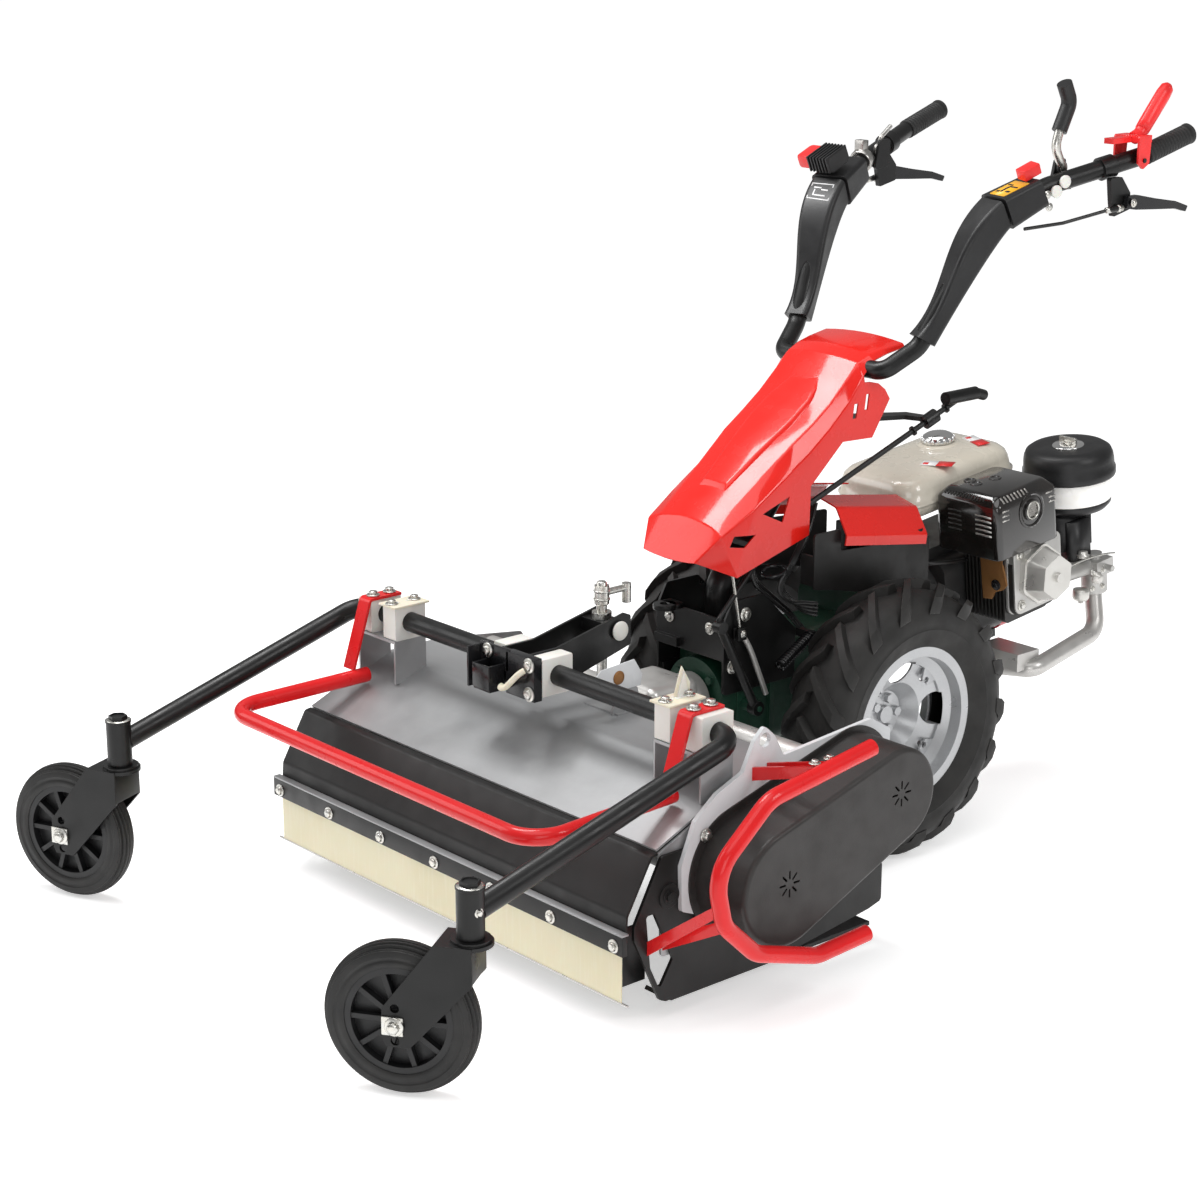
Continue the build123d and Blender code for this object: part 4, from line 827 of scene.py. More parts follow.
def air_cleaner():
    """The air cleaner: black pan, white band, and a cap with rounded shoulders."""
    place = TO_ENGINE @ CLEANER_AT
    pan = spun(place, [(30, 118), (50, 121), (70, 130), (78, 139), (79, 148), (74, 152), (40, 152)], 56)
    slab(pan, moved(TO_ENGINE, 0, 0, 60), [(112, 366), (188, 366), (196, 440), (104, 440)], 66)
    slab(pan, moved(TO_ENGINE, 0, 0, 8), [(176, 372), (206, 372), (206, 424), (176, 424)], 110)
    node_piece("air_cleaner_pan", pan, M_PLASTIC, "chassis", "air_cleaner_body", 35, True)
    band = spun(place, [(70, 147), (79, 148), (79.6, 150), (79.6, 192), (79, 194), (60, 195)], 56)
    node_piece("air_cleaner_band", band, M_WHITE_BAND, "chassis", "air_cleaner_body", 35)
    cap = spun(place, [
        (70, 192), (87, 193), (88.4, 196), (88.4, 207), (86, 211), (85.5, 224), (84, 234), (80, 243),
        (72, 248.5), (60, 250), (32, 250),
    ], 56)
    node_piece("air_cleaner_lid", cap, M_PLASTIC, "chassis", "air_cleaner_cap", 35, True)
    disc = spun(place, [(30, 249), (31, 250.5), (29, 252), (16, 252.6), (9, 253.2), (8.6, 249)], 40)
    node_piece("air_cleaner_disc", disc, M_CHROME, "chassis", "air_cleaner_cap", 30)


GUARD_MIDDLE, GUARD_HALF = (154, 219.5), (76, 84.5)
GUARD_RINGS = [(121, 0, 14), (123, -1, 14), (221, 0, 14), (225, 1.5, 14), (238, 14, 14), (240, 18, 14)]
SIDE_SLOTS = [
    (148, 212), (148, 203), (148, 194), (270, 214), (278, 204), (278, 195), (150, 148), (150, 139), (150, 130),
]


def muffler_guard():
    """The glossy pressed box over the muffler, with rows of slots that show the muffler behind: the dull ones
    in its dark iron, the bright steel ones painted glints where light catches the slots.
    """
    mesh = bmesh.new()
    pressed(mesh, GUARD_MIDDLE, GUARD_HALF, GUARD_RINGS, 6)
    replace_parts(part("muffler_guard_shell", mesh, M_GUARD_BLACK, "chassis", 0, 24), "muffler_guard")
    can = bmesh.new()
    slab(can, moved(TO_ENGINE, 0, 0, 130), rounded_box(152, 220, 60, 70, 14), 92)
    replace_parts(part("muffler_can", can, M_BLOCK_IRON, "chassis", 2), "muffler")
    bright, dull = bmesh.new(), bmesh.new()
    front, side = GUARD_MIDDLE[1] - GUARD_HALF[1], GUARD_MIDDLE[0] + GUARD_HALF[0]
    # Bright slots are painted glints, steel standing in for light caught in the slots; dull slots show the
    # muffler's iron.
    for index in range(8):
        height = 138 + index * 9
        cuboid(bright, (176, front - 0.6, height), (214, front + 1, height + 3.6), TO_ENGINE)
        cuboid(dull, (110, front - 0.6, height), (142, front + 1, height + 3.2), TO_ENGINE)
        spot = Matrix.Translation((side - 7.6, 158 + index * 9.5, 231.8))
        edge = TO_ENGINE @ spot @ Matrix.Rotation(math.pi / 4, 4, "Y")
        cuboid(bright, (-6.5, -1.7, -0.5), (6.5, 1.7, 0.7), edge)
    # Side slots above 160 mm get the painted glint; the lower ones stay dull.
    for y, z in SIDE_SLOTS:
        cuboid(bright if z > 160 else dull, (side - 1, y, z), (side + 0.6, y + 18, z + 3), TO_ENGINE)
    for index in range(14):
        spot = Matrix.Translation((100 + index * 7, front + 7.6, 231.8))
        edge = TO_ENGINE @ spot @ Matrix.Rotation(math.pi / 4, 4, "X")
        cuboid(dull, (-1.5, -4, -0.5), (1.5, 4, 0.7), edge)
    # The bright slots are painted glints; the dull ones keep the muffler's iron.
    part("muffler_slots_painted_glint", bright, M_STEEL, "chassis")
    part("muffler_slots_dull", dull, M_BLOCK_IRON, "chassis")


def muffler_details():
    """Outlet ring with its spark screen, and the dimples of the muffler guard."""
    place = moved(TO_ENGINE, 230, 228, 196) @ upright(OUT)
    ring = spun(place, [(34, -1), (34.5, 1.6), (31, 3.2), (28, 1.6), (27, -1)], 48, closed=True)
    turned(ring, place, [(20.6, -8), (20.6, 4), (18.6, 5), (16.6, 4), (16.6, -8)], 40, closed=True)
    node_piece("muffler_outlet", ring, M_GUARD_BLACK, "chassis", "muffler_guard")
    lip = spun(place, [(17, 3), (17.4, 5.2), (16, 6), (14.8, 5), (14.6, 2)], 40, closed=True)
    node_piece("muffler_outlet_lip", lip, M_ZINC, "chassis", "muffler")
    screen = spun(place, [(15, 0), (15, 0.6)], 32)
    for offset in range(-3, 4):
        for turn in (0, math.pi / 2):
            own = place @ Matrix.Rotation(turn, 4, "Z")
            slab(screen, moved(own, 0, offset * 4.2, 0.6),
                 [(-13, -0.5), (13, -0.5), (13, 0.5), (-13, 0.5)], 1.0)
    add_piece("muffler_screen", screen, M_STEEL, "chassis")
    dimples = bmesh.new()
    for x, y in ((112, 196), (134, 188), (142, 232)):
        own = moved(TO_ENGINE, x, y, 239.4)
        turned(dimples, own, [(12.5, 0), (12, 1.6), (10, 2.2), (7.5, 1.0), (5.5, -1.5), (2, -2)], 28)
    node_piece("muffler_dimples", dimples, M_GUARD_BLACK, "chassis", "muffler_guard")


# ---- controls ----
GRIP_FROM, GRIP_TO = Vector((289, 530, 1224)), Vector((301, 640, 1256))


def hand_grips():
    """Rubber grips with rows of blocks and a domed end."""
    mesh = bmesh.new()
    axis = (GRIP_TO - GRIP_FROM).normalized()
    length = (GRIP_TO - GRIP_FROM).length
    for side in (LEFT, RIGHT):
        turned_axis = Vector((side * axis.x, axis.y, axis.z))
        start = Vector((side * GRIP_FROM.x, GRIP_FROM.y, GRIP_FROM.z))
        place = TO_FRAME @ Matrix.Translation(start) @ upright(turned_axis)
        core = [(13, 3), (18.6, 3), (18.9, 6), (17.6, 10)]
        for index in range(13):
            height = 12 + index * 7.4
            core += [(16.6, height), (18.8, height + 0.8), (18.8, height + 5.2), (16.6, height + 6)]
        core += [(19.5, length - 2), (19.5, length + 1), (16, length + 5), (6, length + 6.5)]
        turned(mesh, place, core, 36)
    node_piece("hand_grip_rubber", mesh, M_GRIP, "handlebar", "grips", 30, True)


BLADE_FROM, BLADE_TO = Vector((284, 522, 1264)), Vector((290.5, 589, 1346))
BLADE = [
    (0.06, 13.4, 13), (0.2, 14.4, 13), (0.45, 15.4, 12.6), (0.8, 15.4, 12.6), (0.94, 13, 11.5), (1.0, 7, 6),
]


def clutch_blade():
    """The wide moulded blade over the clutch lever's rod."""
    mesh = bmesh.new()
    run = (BLADE_TO - BLADE_FROM).normalized()
    across = Vector(OUT) - run * run.x
    across.normalize()
    turn = Matrix((across, run.cross(across), run)).transposed().to_4x4()
    rings = []
    for share, half_y, half_x in BLADE:
        place = TO_FRAME @ Matrix.Translation(BLADE_FROM.lerp(BLADE_TO, share)) @ turn
        rings.append(circle(place, half_y, 0, 24, half_x / half_y))
    lofted(mesh, rings)
    part("clutch_blade", mesh, M_CAP_RED, "clutch", 0, 40)


# ---- casters ----
CASTER_TURNED = {LEFT: 56, RIGHT: 67}
POST_AT = (482, -1180)
CASTER_TRAIL, CASTER_R = 106, 120


def fork_place(side):
    """The placing matrix of a caster's own millimetres, with its post at the origin."""
    return (
        TO_FRAME
        @ Matrix.Translation((side * POST_AT[0], POST_AT[1], 0))
        @ Matrix.Rotation(math.radians(-CASTER_TURNED[side]), 4, "Z")
    )


def caster_tyre(side, word):
    """A solid caster tyre with fine ribs round its tread."""
    place = fork_place(side) @ Matrix.Translation((0, -CASTER_TRAIL, CASTER_R)) @ upright(OUT)
    wall = [(84, 20), (87, 21.6), (94, 22), (95, 21), (100, 21.2), (101, 22.2), (106, 21.6), (110, 20.4)]
    profile = [(radius, -height) for radius, height in wall]
    ribs = 7
    for index in range(ribs):
        middle_x = (index - (ribs - 1) / 2) * 5.4
        top = CASTER_R - 0.030 * middle_x ** 2
        rib = [(-1.8, -2.5), (0, -1.8), (0, 1.8), (-1.8, 2.5)]
        profile += [(top + rise, middle_x + along) for rise, along in rib]
    profile += wall[::-1]
    mesh = spun(place, profile, 88, closed=True)
    name = f"{word}_caster"
    node_piece(f"{name}_rubber", mesh, M_CASTER_RUBBER, name, f"{name}_tyre", 50, True)


FORK_OUTSIDE = 35.0


def caster_fittings(side, word):
    """Axle bolts with their clips, the post's washer, the fork's back plate and its sleeve's cross bolt."""
    place = fork_place(side)
    axle = [((turn * (FORK_OUTSIDE + 3), -CASTER_TRAIL, CASTER_R), (turn, 0, 0)) for turn in (1, -1)]
    bolts(f"{word}_axle_bolts", axle, f"{word}_fork", 17, 11, 1.6, place)
    clips = [
        (
            (turn * (FORK_OUTSIDE + 1.5) - 1.5, -CASTER_TRAIL - 20, CASTER_R - 15),
            (turn * (FORK_OUTSIDE + 1.5) + 1.5, -CASTER_TRAIL + 13, CASTER_R + 14),
        )
        for turn in (1, -1)
    ]
    blocks(f"{word}_axle_clips", clips, M_ZINC, f"{word}_fork", 1.2, place)
    discs(f"{word}_post_washer", [((0, 0, 333), UP)], [(20, 0), (21, 1), (21, 3), (20, 4)], M_ZINC,
          f"{word}_fork", place)
    blocks(f"{word}_fork_back", [((-34, 8, 196), (34, 12.5, 248))], M_BLACK, f"{word}_fork", 1.5, place)
    sleeve = [((side * (POST_AT[0] + 19), POST_AT[1], 300), (side, 0, 0))]
    bolts(f"{word}_sleeve_bolt", sleeve, "caster_beam", 9, 5)


# ---- deck ----
STRIP_PITCH, STRIP_COUNT = 150, 7
POINTER = [(-668, 473), (-636, 473), (-634, 492), (-652, 522), (-660, 500)]
REST_PLATE = [(-606, 392), (-606, 420), (-588, 436), (-514, 441), (-496, 412), (-500, 392)]


def deck_fittings():
    """Bolts, the front strip, the flap's hem, and the tops of the white blocks."""
    strip = [
        (((index - (STRIP_COUNT - 1) / 2) * STRIP_PITCH, -879.4, 144), FORWARD) for index in range(STRIP_COUNT)
    ]
    bolts("strip_bolts", strip, "deck", 13, 6)
    blocks("strip_band", [((-470, -879.4, 131), (470, -869, 164))], M_BLACK, "deck", 0.8)
    blocks("strip_edge", [((-470, -880, 163.5), (470, -866, 166.5))], M_GALVANISED, "deck", 0.8)
    blocks("flap_hem", [((-472, -870.6, 45.6), (472, -867.4, 48.6))], M_TUBE_SILVER, "deck", 0.5)
    # Black plates inside the deck ends are painted shade: they darken what the side-plate holes show of the
    # deck's inside.
    blocks("deck_painted_shade_plates", [((x, -860, 60), (x + 3, -800, 158)) for x in (431, -434)], M_BLACK, "deck", 0.6)
    tops, screws, straps = [], [], []
    for side in (LEFT, RIGHT):
        low_x, high_x = sorted((side * 334, side * 382))
        tops.append(((low_x, -704, 469.5), (high_x, -626, 473.5)))
        screws += [((side * 358, y, 473.5), UP) for y in (-642, -692)]
        straps += [((side * 419, y, 476), UP) for y in (-652, -688)]
    blocks("block_tops", tops, M_NYLON_PLATE, "deck", 1.4)
    bolts("block_screws", screws, "deck", 13, 8, 1.4)
    bolts("bracket_bolts", straps, "deck", 14, 8, 1.4)
    pointer = bmesh.new()
    slab(pointer, TO_FRAME @ side_on(350), POINTER, 3.4)
    part("height_pointer", pointer, M_NYLON_PLATE, "deck", 0.8)
    guard = [((479, y, z), OUT) for y, z in ((-716, 292), (-515, 355), (-560, 132))]
    bolts("guard_bolts", guard, "deck", 13, 8, 1.6)
    bolts("side_plate_bolt", [((468, -783, 206), OUT)], "deck", 13, 8, 2.2)
    bolts("strap_bolts", [((608, y, 420), UP) for y in (-612, -580)], "deck", 11, 6)


def height_clamp():
    """The clamp in the middle of the caster beam: white halves, a pocket and a bent pin."""
    body = "caster_beam"
    blocks("clamp_halves", [
        ((33, -699, 406), (66, -632, 472)), ((-66, -696, 412), (-33, -634, 476)),
    ], M_NYLON, body, 4)
    blocks("clamp_face", [
        ((-8, -717, 402), (66, -699.5, 476)), ((-76, -746, 404), (-71, -699, 474)),
        ((-76, -717, 440), (0, -712, 478)),
    ], M_BLACK_GLOSS, body, 1.5)
    blocks("clamp_pocket", [
        ((-56, -748, 410), (-52, -717, 452)), ((-16, -748, 410), (-12, -717, 452)),
        ((-56, -750, 410), (-12, -746, 452)), ((-56, -748, 406), (-12, -717, 410)),
    ], M_BLACK_GLOSS, body, 1.0)
    face = [((54, -717, z), FORWARD) for z in (464, 414)] + [((-54, -717, 466), FORWARD)]
    bolts("clamp_bolts", face, body, 15, 7, 1.6)
    tube("clamp_pin", [
        (50, -724, 456), (46, -732, 452), (34, -740, 436), (24, -744, 424), (8, -744, 420), (2, -734, 420),
    ], 5.2, M_NYLON_PLATE, body)
    discs("trunnion_discs", [((38, -504, 478), OUT), ((-38, -504, 478), (-1, 0, 0))],
          [(16.5, -0.5), (17, 2), (16, 3.4), (6, 4)], M_NYLON, body)
    rest = bmesh.new()
    slab(rest, TO_FRAME @ side_on(84), REST_PLATE, 3)
    part("rest_plate", rest, M_WHITE_PLATE, "deck", 0.8)
    discs("rest_disc", [((87, -550, 416), OUT)], [(12, -1), (12, 1.2), (11, 2.2), (4, 2.4)], M_BRONZE, "deck")
    top = moved(TO_FRAME, 0, -512, 552)
    crank = spun(top, [(11, -34), (13, -30), (13, -6), (11, -2), (9, 0), (9, 5), (7, 7)], 20)
    for height in (-26, -12):
        turned(crank, moved(top, 0, 0, height), [(14, 0), (14.6, 1), (14.6, 3), (14, 4)], 20)
    part("crank_collar", crank, M_ZINC, "jack_screw")


# ---- front frame ----
SPRING_FROM, SPRING_TO, SPRING_TURNS, SPRING_R = Vector((118, -200, 370)), Vector((118, -124, 412)), 15, 10


def front_frame_fittings():
    """Bolts, the clutch link, the return spring and the cables in their guide."""
    body = "chassis"
    plate = [((side * 87, y, z), (side, 0, 0)) for side in (LEFT, RIGHT)
             for y, z in ((-286, 380), (-256, 470), (-160, 362))]
    bolts("frame_bolts", plate, body, 15, 8, 1.6)
    bolts("tie_bolts", [((x, -306, 446), FORWARD) for x in (52, -52)], body, 13, 7, 1.6)
    axis = (SPRING_TO - SPRING_FROM).normalized()
    first = Vector(OUT)
    second = axis.cross(first)
    steps = SPRING_TURNS * 8
    coil = [
        SPRING_FROM + axis * (SPRING_TO - SPRING_FROM).length * step / steps
        + first * SPRING_R * math.cos(step * math.pi / 4) + second * SPRING_R * math.sin(step * math.pi / 4)
        for step in range(steps + 1)
    ]
    tube("return_spring_coil", coil, 1.7, M_BLACK_GLOSS, body, sides=3)
    link = [(96, -298, 560), (96, -290, 520), (97, -276, 440)]
    tube("clutch_link", link, 2.6, M_ZINC, body)
    lower = [(97, -276, 440), (99, -262, 428), (100, -228, 350), (100, -214, 318)]
    tube("clutch_link_foot", lower, 5.0, M_TUBE_SILVER, body)
    clevis = [((x, -288, 430), (x + 4, -268, 452)) for x in (90, 101)]
    blocks("clutch_clevis", clevis, M_BLACK, body)
    bolts("clevis_pin", [((105, -277, 442), OUT)], body, 8, 4)
    for index, shift in enumerate((0, 7, 14, 21)):
        run = [
            (48 + shift, -66, 636), (66 + shift * 0.5, -86, 592), (96, -158 + shift * 0.5, 540),
            (104 - shift * 0.5, -200 + shift, 508),
            (108 - shift * 0.8, -168 + shift, 478), (96, -120, 468 - shift), (80, -70, 452 - shift),
        ]
        tube(f"bundle_cable_{index}", run, 3.4, M_CABLE, body)
    around = moved(TO_FRAME, 99, -200, 540) @ Matrix.Rotation(math.radians(14), 4, "X")
    ring = spun(around, [(21, -2.5), (24, -2.5), (25, 0), (24, 2.5), (21, 2.5), (20, 0)], 32, closed=True)
    part("cable_ring", ring, M_BLACK_GLOSS, body)
    lug_profile = [(9, 0), (20, 0), (21, 2), (21, 8), (20, 10), (9, 10)]
    lug = spun(moved(TO_FRAME, -40, -330, 466), lug_profile, 28, closed=True)
    cuboid(lug, (-58, -322, 466), (-22, -300, 476))
    part("ring_lug", lug, M_BLACK, body)


# ---- engine fittings ----
HEAD_AT = (254, 62)
SHROUD = [(142, 118), (196, 118), (197, 96), (206, 56), (196, 44), (176, 36), (168, 20), (146, 18)]


def engine_fittings():
    """The head, the bronze shroud, the carburettor's small parts and the labels."""
    body = "chassis"
    head = bmesh.new()
    for start, thick, half in ((199, 6, 70), (205, 14, 67)):
        outline = rounded_box(*HEAD_AT, half, half, 18)
        slab(head, TO_ENGINE @ side_on(start), outline, thick)
    part("cylinder_head", head, M_ALUMINIUM, body, 1.0)
    lugs = ((-50, -50), (50, -50), (-50, 50))
    spots = [((219, HEAD_AT[0] + y, HEAD_AT[1] + z), OUT) for y, z in lugs]
    bolts("head_bolts", spots, body, 12, 6, 1.0, TO_ENGINE)
    shroud = bmesh.new()
    front = TO_ENGINE @ Matrix(((1, 0, 0, 0), (0, 0, -1, 184), (0, 1, 0, 0), (0, 0, 0, 1)))
    slab(shroud, front, SHROUD, 4)
    part("bronze_shroud", shroud, M_BRONZE, body, 1.6)
    bolts("shroud_bolt", [((180, 180, 52), FORWARD)], body, 12, 7, 1.5, TO_ENGINE, M_BLACK_GLOSS)
    centre = TO_FRAME.inverted() @ middle("carburettor")
    low, high = (TO_FRAME.inverted() @ Vector(corner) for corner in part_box("carburettor"))
    discs("carburettor_bowl", [((centre.x, centre.y, low.z + 6), DOWN)],
          [(15, -12), (16, -8), (16, 4), (13, 9), (6, 11), (5, 15), (3, 16)], M_COVER_SILVER, body)
    discs("carburettor_caps", [
        ((high.x - 4, centre.y, centre.z + 6), OUT), ((centre.x, centre.y, high.z - 3), UP),
    ], [(12, 0), (12.5, 5), (9, 7), (8.5, 12), (4, 13)], M_COVER_SILVER, body)
    bolts("carburettor_screws", [
        ((high.x, centre.y + y, centre.z + z), OUT) for y in (-15, 15) for z in (-12, 20)
    ], body, 7, 5, 1.0)
    tube("carburettor_link", [
        (centre.x + 14, low.y - 6, centre.z + 30), (centre.x + 20, centre.y, high.z + 8),
        (centre.x + 12, high.y + 4, high.z - 6),
    ], 2.0, M_ZINC, body)
    labels, red_labels = bmesh.new(), bmesh.new()
    for x, y, turn in ((8, 334, -18), (40, 190, 24)):
        place = moved(TO_ENGINE, x, y, 261.0) @ Matrix.Rotation(math.radians(turn), 4, "Z")
        slab(labels, place, [(-32, -13), (-1, -13), (-1, 13), (-32, 13)], 0.9)
        slab(red_labels, place, [(-1, -13), (30, -13), (30, 13), (-1, 13)], 0.9)
        slab(red_labels, place, [(-28, -9), (-18, -9), (-18, 2), (-28, 2)], 1.2)
    part("tank_label_white", labels, M_WHITE_INK, body)
    part("tank_label_red", red_labels, M_CAP_RED, body)
    discs("fender_lamps", [((98, 60, 566), DOWN), ((138, 140, 552), DOWN)],
          [(4, -8), (5.4, -6), (5.6, 8), (4, 13), (1.5, 14)], M_AMBER, body)
    discs("fender_grommet", [((128, 130, 560), DOWN)], [(16, -8), (17, 0), (16, 14), (12, 17)], M_PLASTIC, body)
    blocks("cable_shield", [((64, -10, 474), (96, 62, 594))], M_BLACK, body, 3)
    tube("fuel_line", [(60, 200, 470), (92, 196, 480), (110, 300, 470), (120, 420, 480)], 3.5, M_CABLE, body)
    bolts("bumper_bolts", [((132, 246, 282), UP), ((132, 330, 271), UP)], body, 15, 9, 1.8)


ROPE_FROM, ROPE_TO, ROPE_Z, ROPE_R = 344.0, 352.0, -78, 2.0
ROPE_RINGS = 24


def starter_rope():
    """The starter rope, wound up inside the cover at rest: a short length just outside the cover."""
    mesh = bmesh.new()
    place = moved(TO_ENGINE, 0, 0, ROPE_Z) @ Matrix.Rotation(math.pi / 2, 4, "X")
    step = (ROPE_TO - ROPE_FROM) / ROPE_RINGS
    lofted(mesh, [circle(place, ROPE_R, -ROPE_FROM - step * index, 12) for index in range(ROPE_RINGS + 1)])
    smooth(mesh, 60)
    piece = put_mesh("starter_rope", mesh, M_CABLE)
    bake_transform(piece)


# ---- handlebar fittings ----
BOX_LOW, BOX_HIGH = Vector((203, 236, 1140)), Vector((222, 310, 1172))
COVER_BOLTS = [(244, 276, 1148), (252, 316, 1146), (253, 308, 1168)]


def arm_top(side, along, lift=30.0):
    """A placing matrix on the top face of an arm's upper box, a share of the way along it."""
    spot = BOX_LOW.lerp(BOX_HIGH, along)
    run = BOX_HIGH - BOX_LOW
    normal = Vector((0, -run.z, run.y)).normalized()
    spot = spot + normal * lift
    return facing((side * spot.x, spot.y, spot.z), (side * run.x, run.y, run.z), normal)


def outlined(mesh, node, place, half_x, half_y, width, lift):
    """A thin frame draped on a node: four strips."""
    for low, high in (
        ((-half_x, -half_y), (half_x, width - half_y)), ((-half_x, half_y - width), (half_x, half_y)),
        ((-half_x, -half_y), (width - half_x, half_y)), ((half_x - width, -half_y), (half_x, half_y)),
    ):
        draped(mesh, node, place, [low, (high[0], low[1]), high, (low[0], high[1])], lift)


def handlebar_fittings():
    """Labels without words, switch block, clamps, adjusters and bolts."""
    body = "handlebar"
    yellow = bmesh.new()
    place = arm_top(LEFT, 0.42)
    draped(yellow, "arm_covers", place, rounded_box(0, 0, 22, 29, 3, 3), 0.5)
    part("yellow_plate", yellow, M_YELLOW, body)
    marks = bmesh.new()
    for x, y, dx, dy in ((-12, 12, 7, 2), (4, 6, 12, 2), (-6, -6, 3, 10), (10, -12, 6, 3), (-14, -16, 4, 3)):
        draped(marks, "arm_covers", place, rounded_box(x, y, dx, dy, 1, 2), 0.9)
    part("yellow_plate_marks", marks, M_BLACK_GLOSS, body)
    ink = bmesh.new()
    place = arm_top(RIGHT, -0.44)
    outlined(ink, "arm_covers", place, 23, 17, 1.6, 0.6)
    for x, y, dx, dy in ((-8, 7, 8, 1.2), (8, 3, 7, 1.2), (0, -9, 13, 1.2), (-12, -3, 1.2, 6)):
        draped(ink, "arm_covers", place, rounded_box(x, y, dx, dy, 0.8, 2), 0.6)
    part("control_plate_lines", ink, M_WHITE_INK, body)
    red = bmesh.new()
    own = moved(TO_FRAME, -213, 246, 1184) @ Matrix.Rotation(math.radians(24), 4, "X")
    cuboid(red, (-62, -26, 1), (-28, 20, 29), own)
    part("stop_switch_hood", red, M_CAP_RED, "stop", 7, 50)
    ribs = [((x, -34, 2), (x + 3.5, 24, 33)) for x in range(-26, 27, 8)]
    blocks("stop_switch_ribs", ribs, M_PLASTIC, "stop", 1.2, own)
    blocks("red_catch", [((-13, -24, -2), (13, 12, 18))], M_CAP_RED, body, 2.5, arm_top(LEFT, 1.05, 32))
    discs("cover_discs", [((256, 330, 1172), (1, -0.25, 0)), ((257, 352, 1188), (1, -0.25, 0))],
          [(11, -3), (11.5, 1), (9, 2.4), (3, 2.6)], M_NYLON, body)
    spots = []
    for side in (LEFT, RIGHT):
        spots += [((side * x, y, z), (side, -0.2, 0)) for x, y, z in COVER_BOLTS]
    bolts("cover_bolts", spots, body, 9, 4, 1.0)
    around = moved(TO_FRAME, -234, 350, 1184) @ upright((-30, 118, 54))
    clamp = spun(around, [(17, -9), (22, -9), (23, -6), (23, 6), (22, 9), (17, 9)], 32, closed=True)
    cuboid(clamp, (-246, 340, 1200), (-224, 356, 1222))
    part("throttle_clamp", clamp, M_STEEL, body, 1.5)
    for side, word in SIDES:
        start = Vector((side * 297, 458, 1136))
        run = (Vector((side * 292, 428, 1134)) - start).normalized()
        discs(f"{word}_cable_adjuster", [(start, run)], [
            (5.5, -6), (5.5, 0), (7, 1), (7, 6), (4.6, 7), (4.6, 20), (5.6, 21), (5.6, 32), (3.6, 34),
        ], M_ZINC, body)
        bolts(f"{word}_brake_bolt", [((side * 306, 485, 1144), (side, 0, 0))], body, 9, 5, 1.2)
    stem = [(221, 388, 1204), (221, 376, 1222), (221, 364, 1244), (221, 370, 1266), (221, 379, 1288)]
    tube("reverser_stem", stem, 8.5, M_ZINC, "reverser")
    tube("clutch_wire", [(270, 470, 1218), (240, 430, 1204), (214, 350, 1186)], 1.6, M_ZINC, body)


# ---- camera, lights and floor ----
CAMERA_AT = (3175, -3274, 1753)
CAMERA_AZIMUTH, CAMERA_ELEVATION = 49.02, 16.26
CAMERA_LENS = 77.23
LIGHT_TARGET = (0, 132, 500)


def camera():
    """The camera, where the machine's known sizes put it."""
    data = bpy.data.cameras.new("camera")
    data.lens = CAMERA_LENS
    data.sensor_width = 36
    data.clip_end = 60
    made = put("camera", data)
    made.location = at(*CAMERA_AT)
    made.rotation_euler = (math.radians(90 - CAMERA_ELEVATION), 0, math.radians(CAMERA_AZIMUTH))
    bpy.context.scene.camera = made


def softbox(name, spot, size, power, target=LIGHT_TARGET):
    """A large rectangular light aimed at a point of the machine."""
    data = bpy.data.lights.new(name, "AREA")
    data.shape = "RECTANGLE"
    data.size, data.size_y = size
    data.energy = power
    made = put(name, data)
    made.location = at(*spot)
    aim = at(*target) - made.location
    made.rotation_euler = aim.to_track_quat("-Z", "Y").to_euler()


AMBIENT = 0.30
FLOOR_GLOW, FLOOR_HALF, FLOOR_DROP = 0.5, 30, 0.0005
OVERHEAD, OVERHEAD_SPREAD, OVERHEAD_FROM = 1.0, 46, (0.10, -0.22, 1.0)


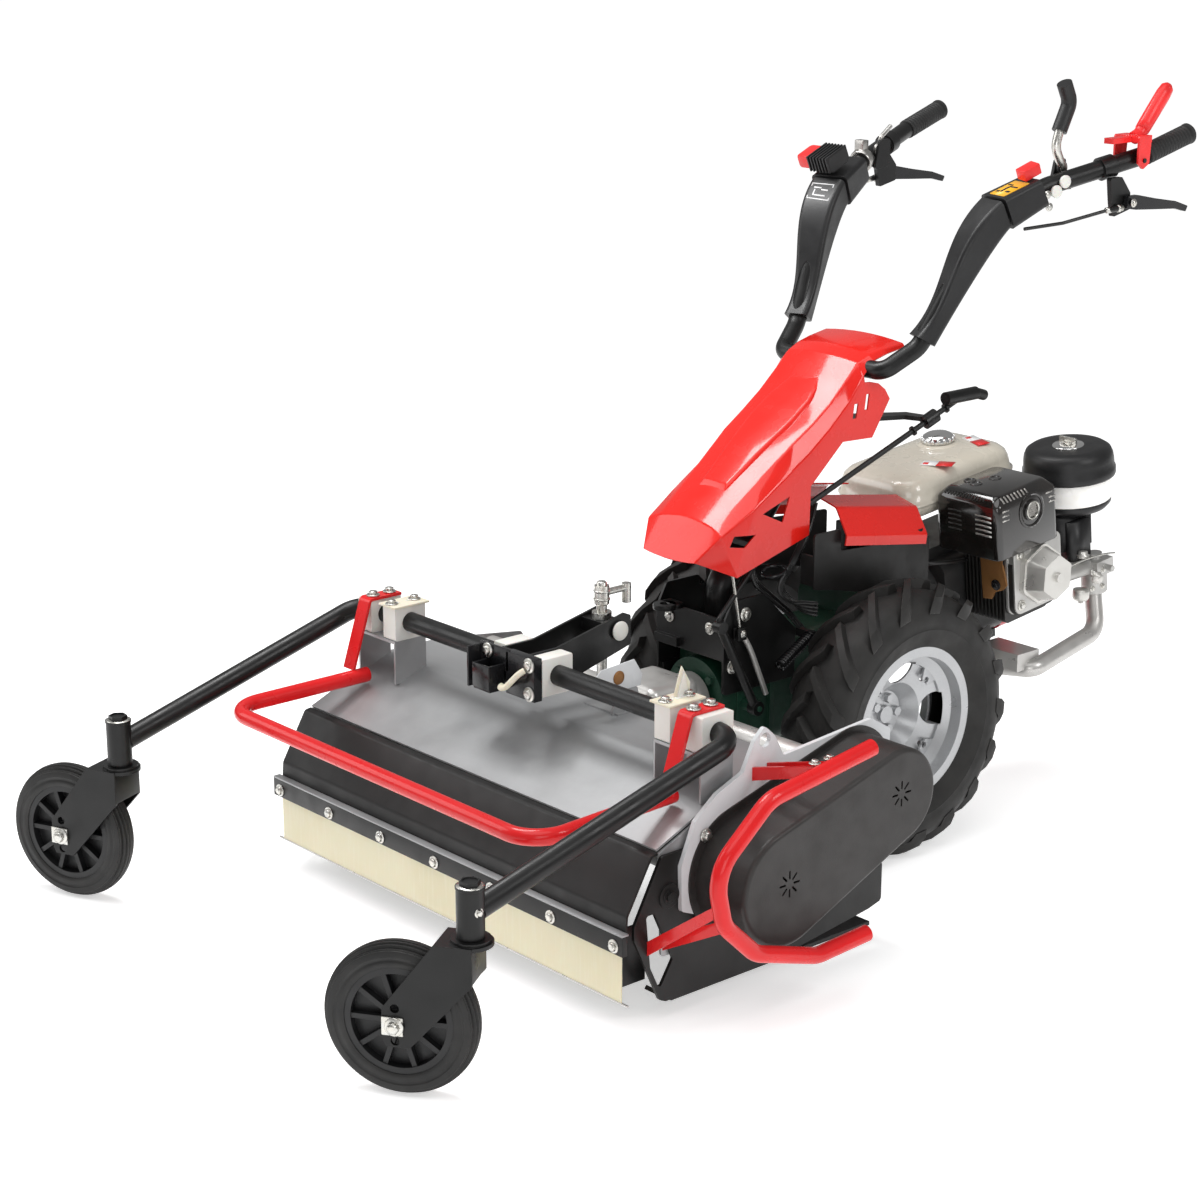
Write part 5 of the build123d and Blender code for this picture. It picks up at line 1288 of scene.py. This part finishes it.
def studio():
    """White surroundings, soft lights and a pale floor."""
    world = bpy.data.worlds.new("studio")
    bpy.context.scene.world = world
    world.use_nodes = True
    nodes, links = world.node_tree.nodes, world.node_tree.links
    ambient = nodes["Background"]
    ambient.inputs["Color"].default_value = (1, 1, 1, 1)
    ambient.inputs["Strength"].default_value = AMBIENT
    seen = nodes.new("ShaderNodeBackground")
    seen.inputs["Color"].default_value = (1, 1, 1, 1)
    mix = nodes.new("ShaderNodeMixShader")
    links.new(nodes.new("ShaderNodeLightPath").outputs["Is Camera Ray"], mix.inputs["Fac"])
    links.new(ambient.outputs[0], mix.inputs[1])
    links.new(seen.outputs[0], mix.inputs[2])
    links.new(mix.outputs[0], nodes["World Output"].inputs["Surface"])
    softbox("front_left", (-2800, -2600, 2300), (2.2, 2.2), 38)
    softbox("front_right", (3000, -2600, 1500), (1.6, 1.6), 20)
    softbox("side_strip", (2965, 464, 2675), (0.9, 1.5), 30, (95, -110, 760))
    softbox("overhead_box", (-1030, -646, 2966), (1.0, 1.0), 44, (95, -290, 650))
    data = bpy.data.lights.new("overhead", "SUN")
    data.energy = OVERHEAD
    data.angle = math.radians(OVERHEAD_SPREAD)
    put("overhead", data).rotation_euler = Vector(OVERHEAD_FROM).to_track_quat("Z", "Y").to_euler()
    pale = Shader("pale_floor", (0.93, 0.93, 0.93), 0.6)
    pale.mottle((0.91, 0.91, 0.91), 1.5, 0.5)
    pale.fill(pale.bsdf, {"Emission Color": (1, 1, 1, 1), "Emission Strength": FLOOR_GLOW})
    mesh = bmesh.new()
    bmesh.ops.create_grid(mesh, x_segments=1, y_segments=1, size=FLOOR_HALF)
    floor = put_mesh("floor", mesh, pale.done(0.03, 3))
    floor.location.z = -FLOOR_DROP
    bpy.context.scene.view_settings.view_transform = "Standard"


camera()
studio()
dress_nodes()
for side, word in SIDES:
    drive_tyre(side, word)
    caster_tyre(side, word)
    caster_fittings(side, word)
hood()
hood_panel()
fuel_tank()
fuel_cap()
air_cleaner()
muffler_guard()
muffler_details()
hand_grips()
clutch_blade()
deck_fittings()
height_clamp()
front_frame_fittings()
engine_fittings()
starter_rope()
handlebar_fittings()
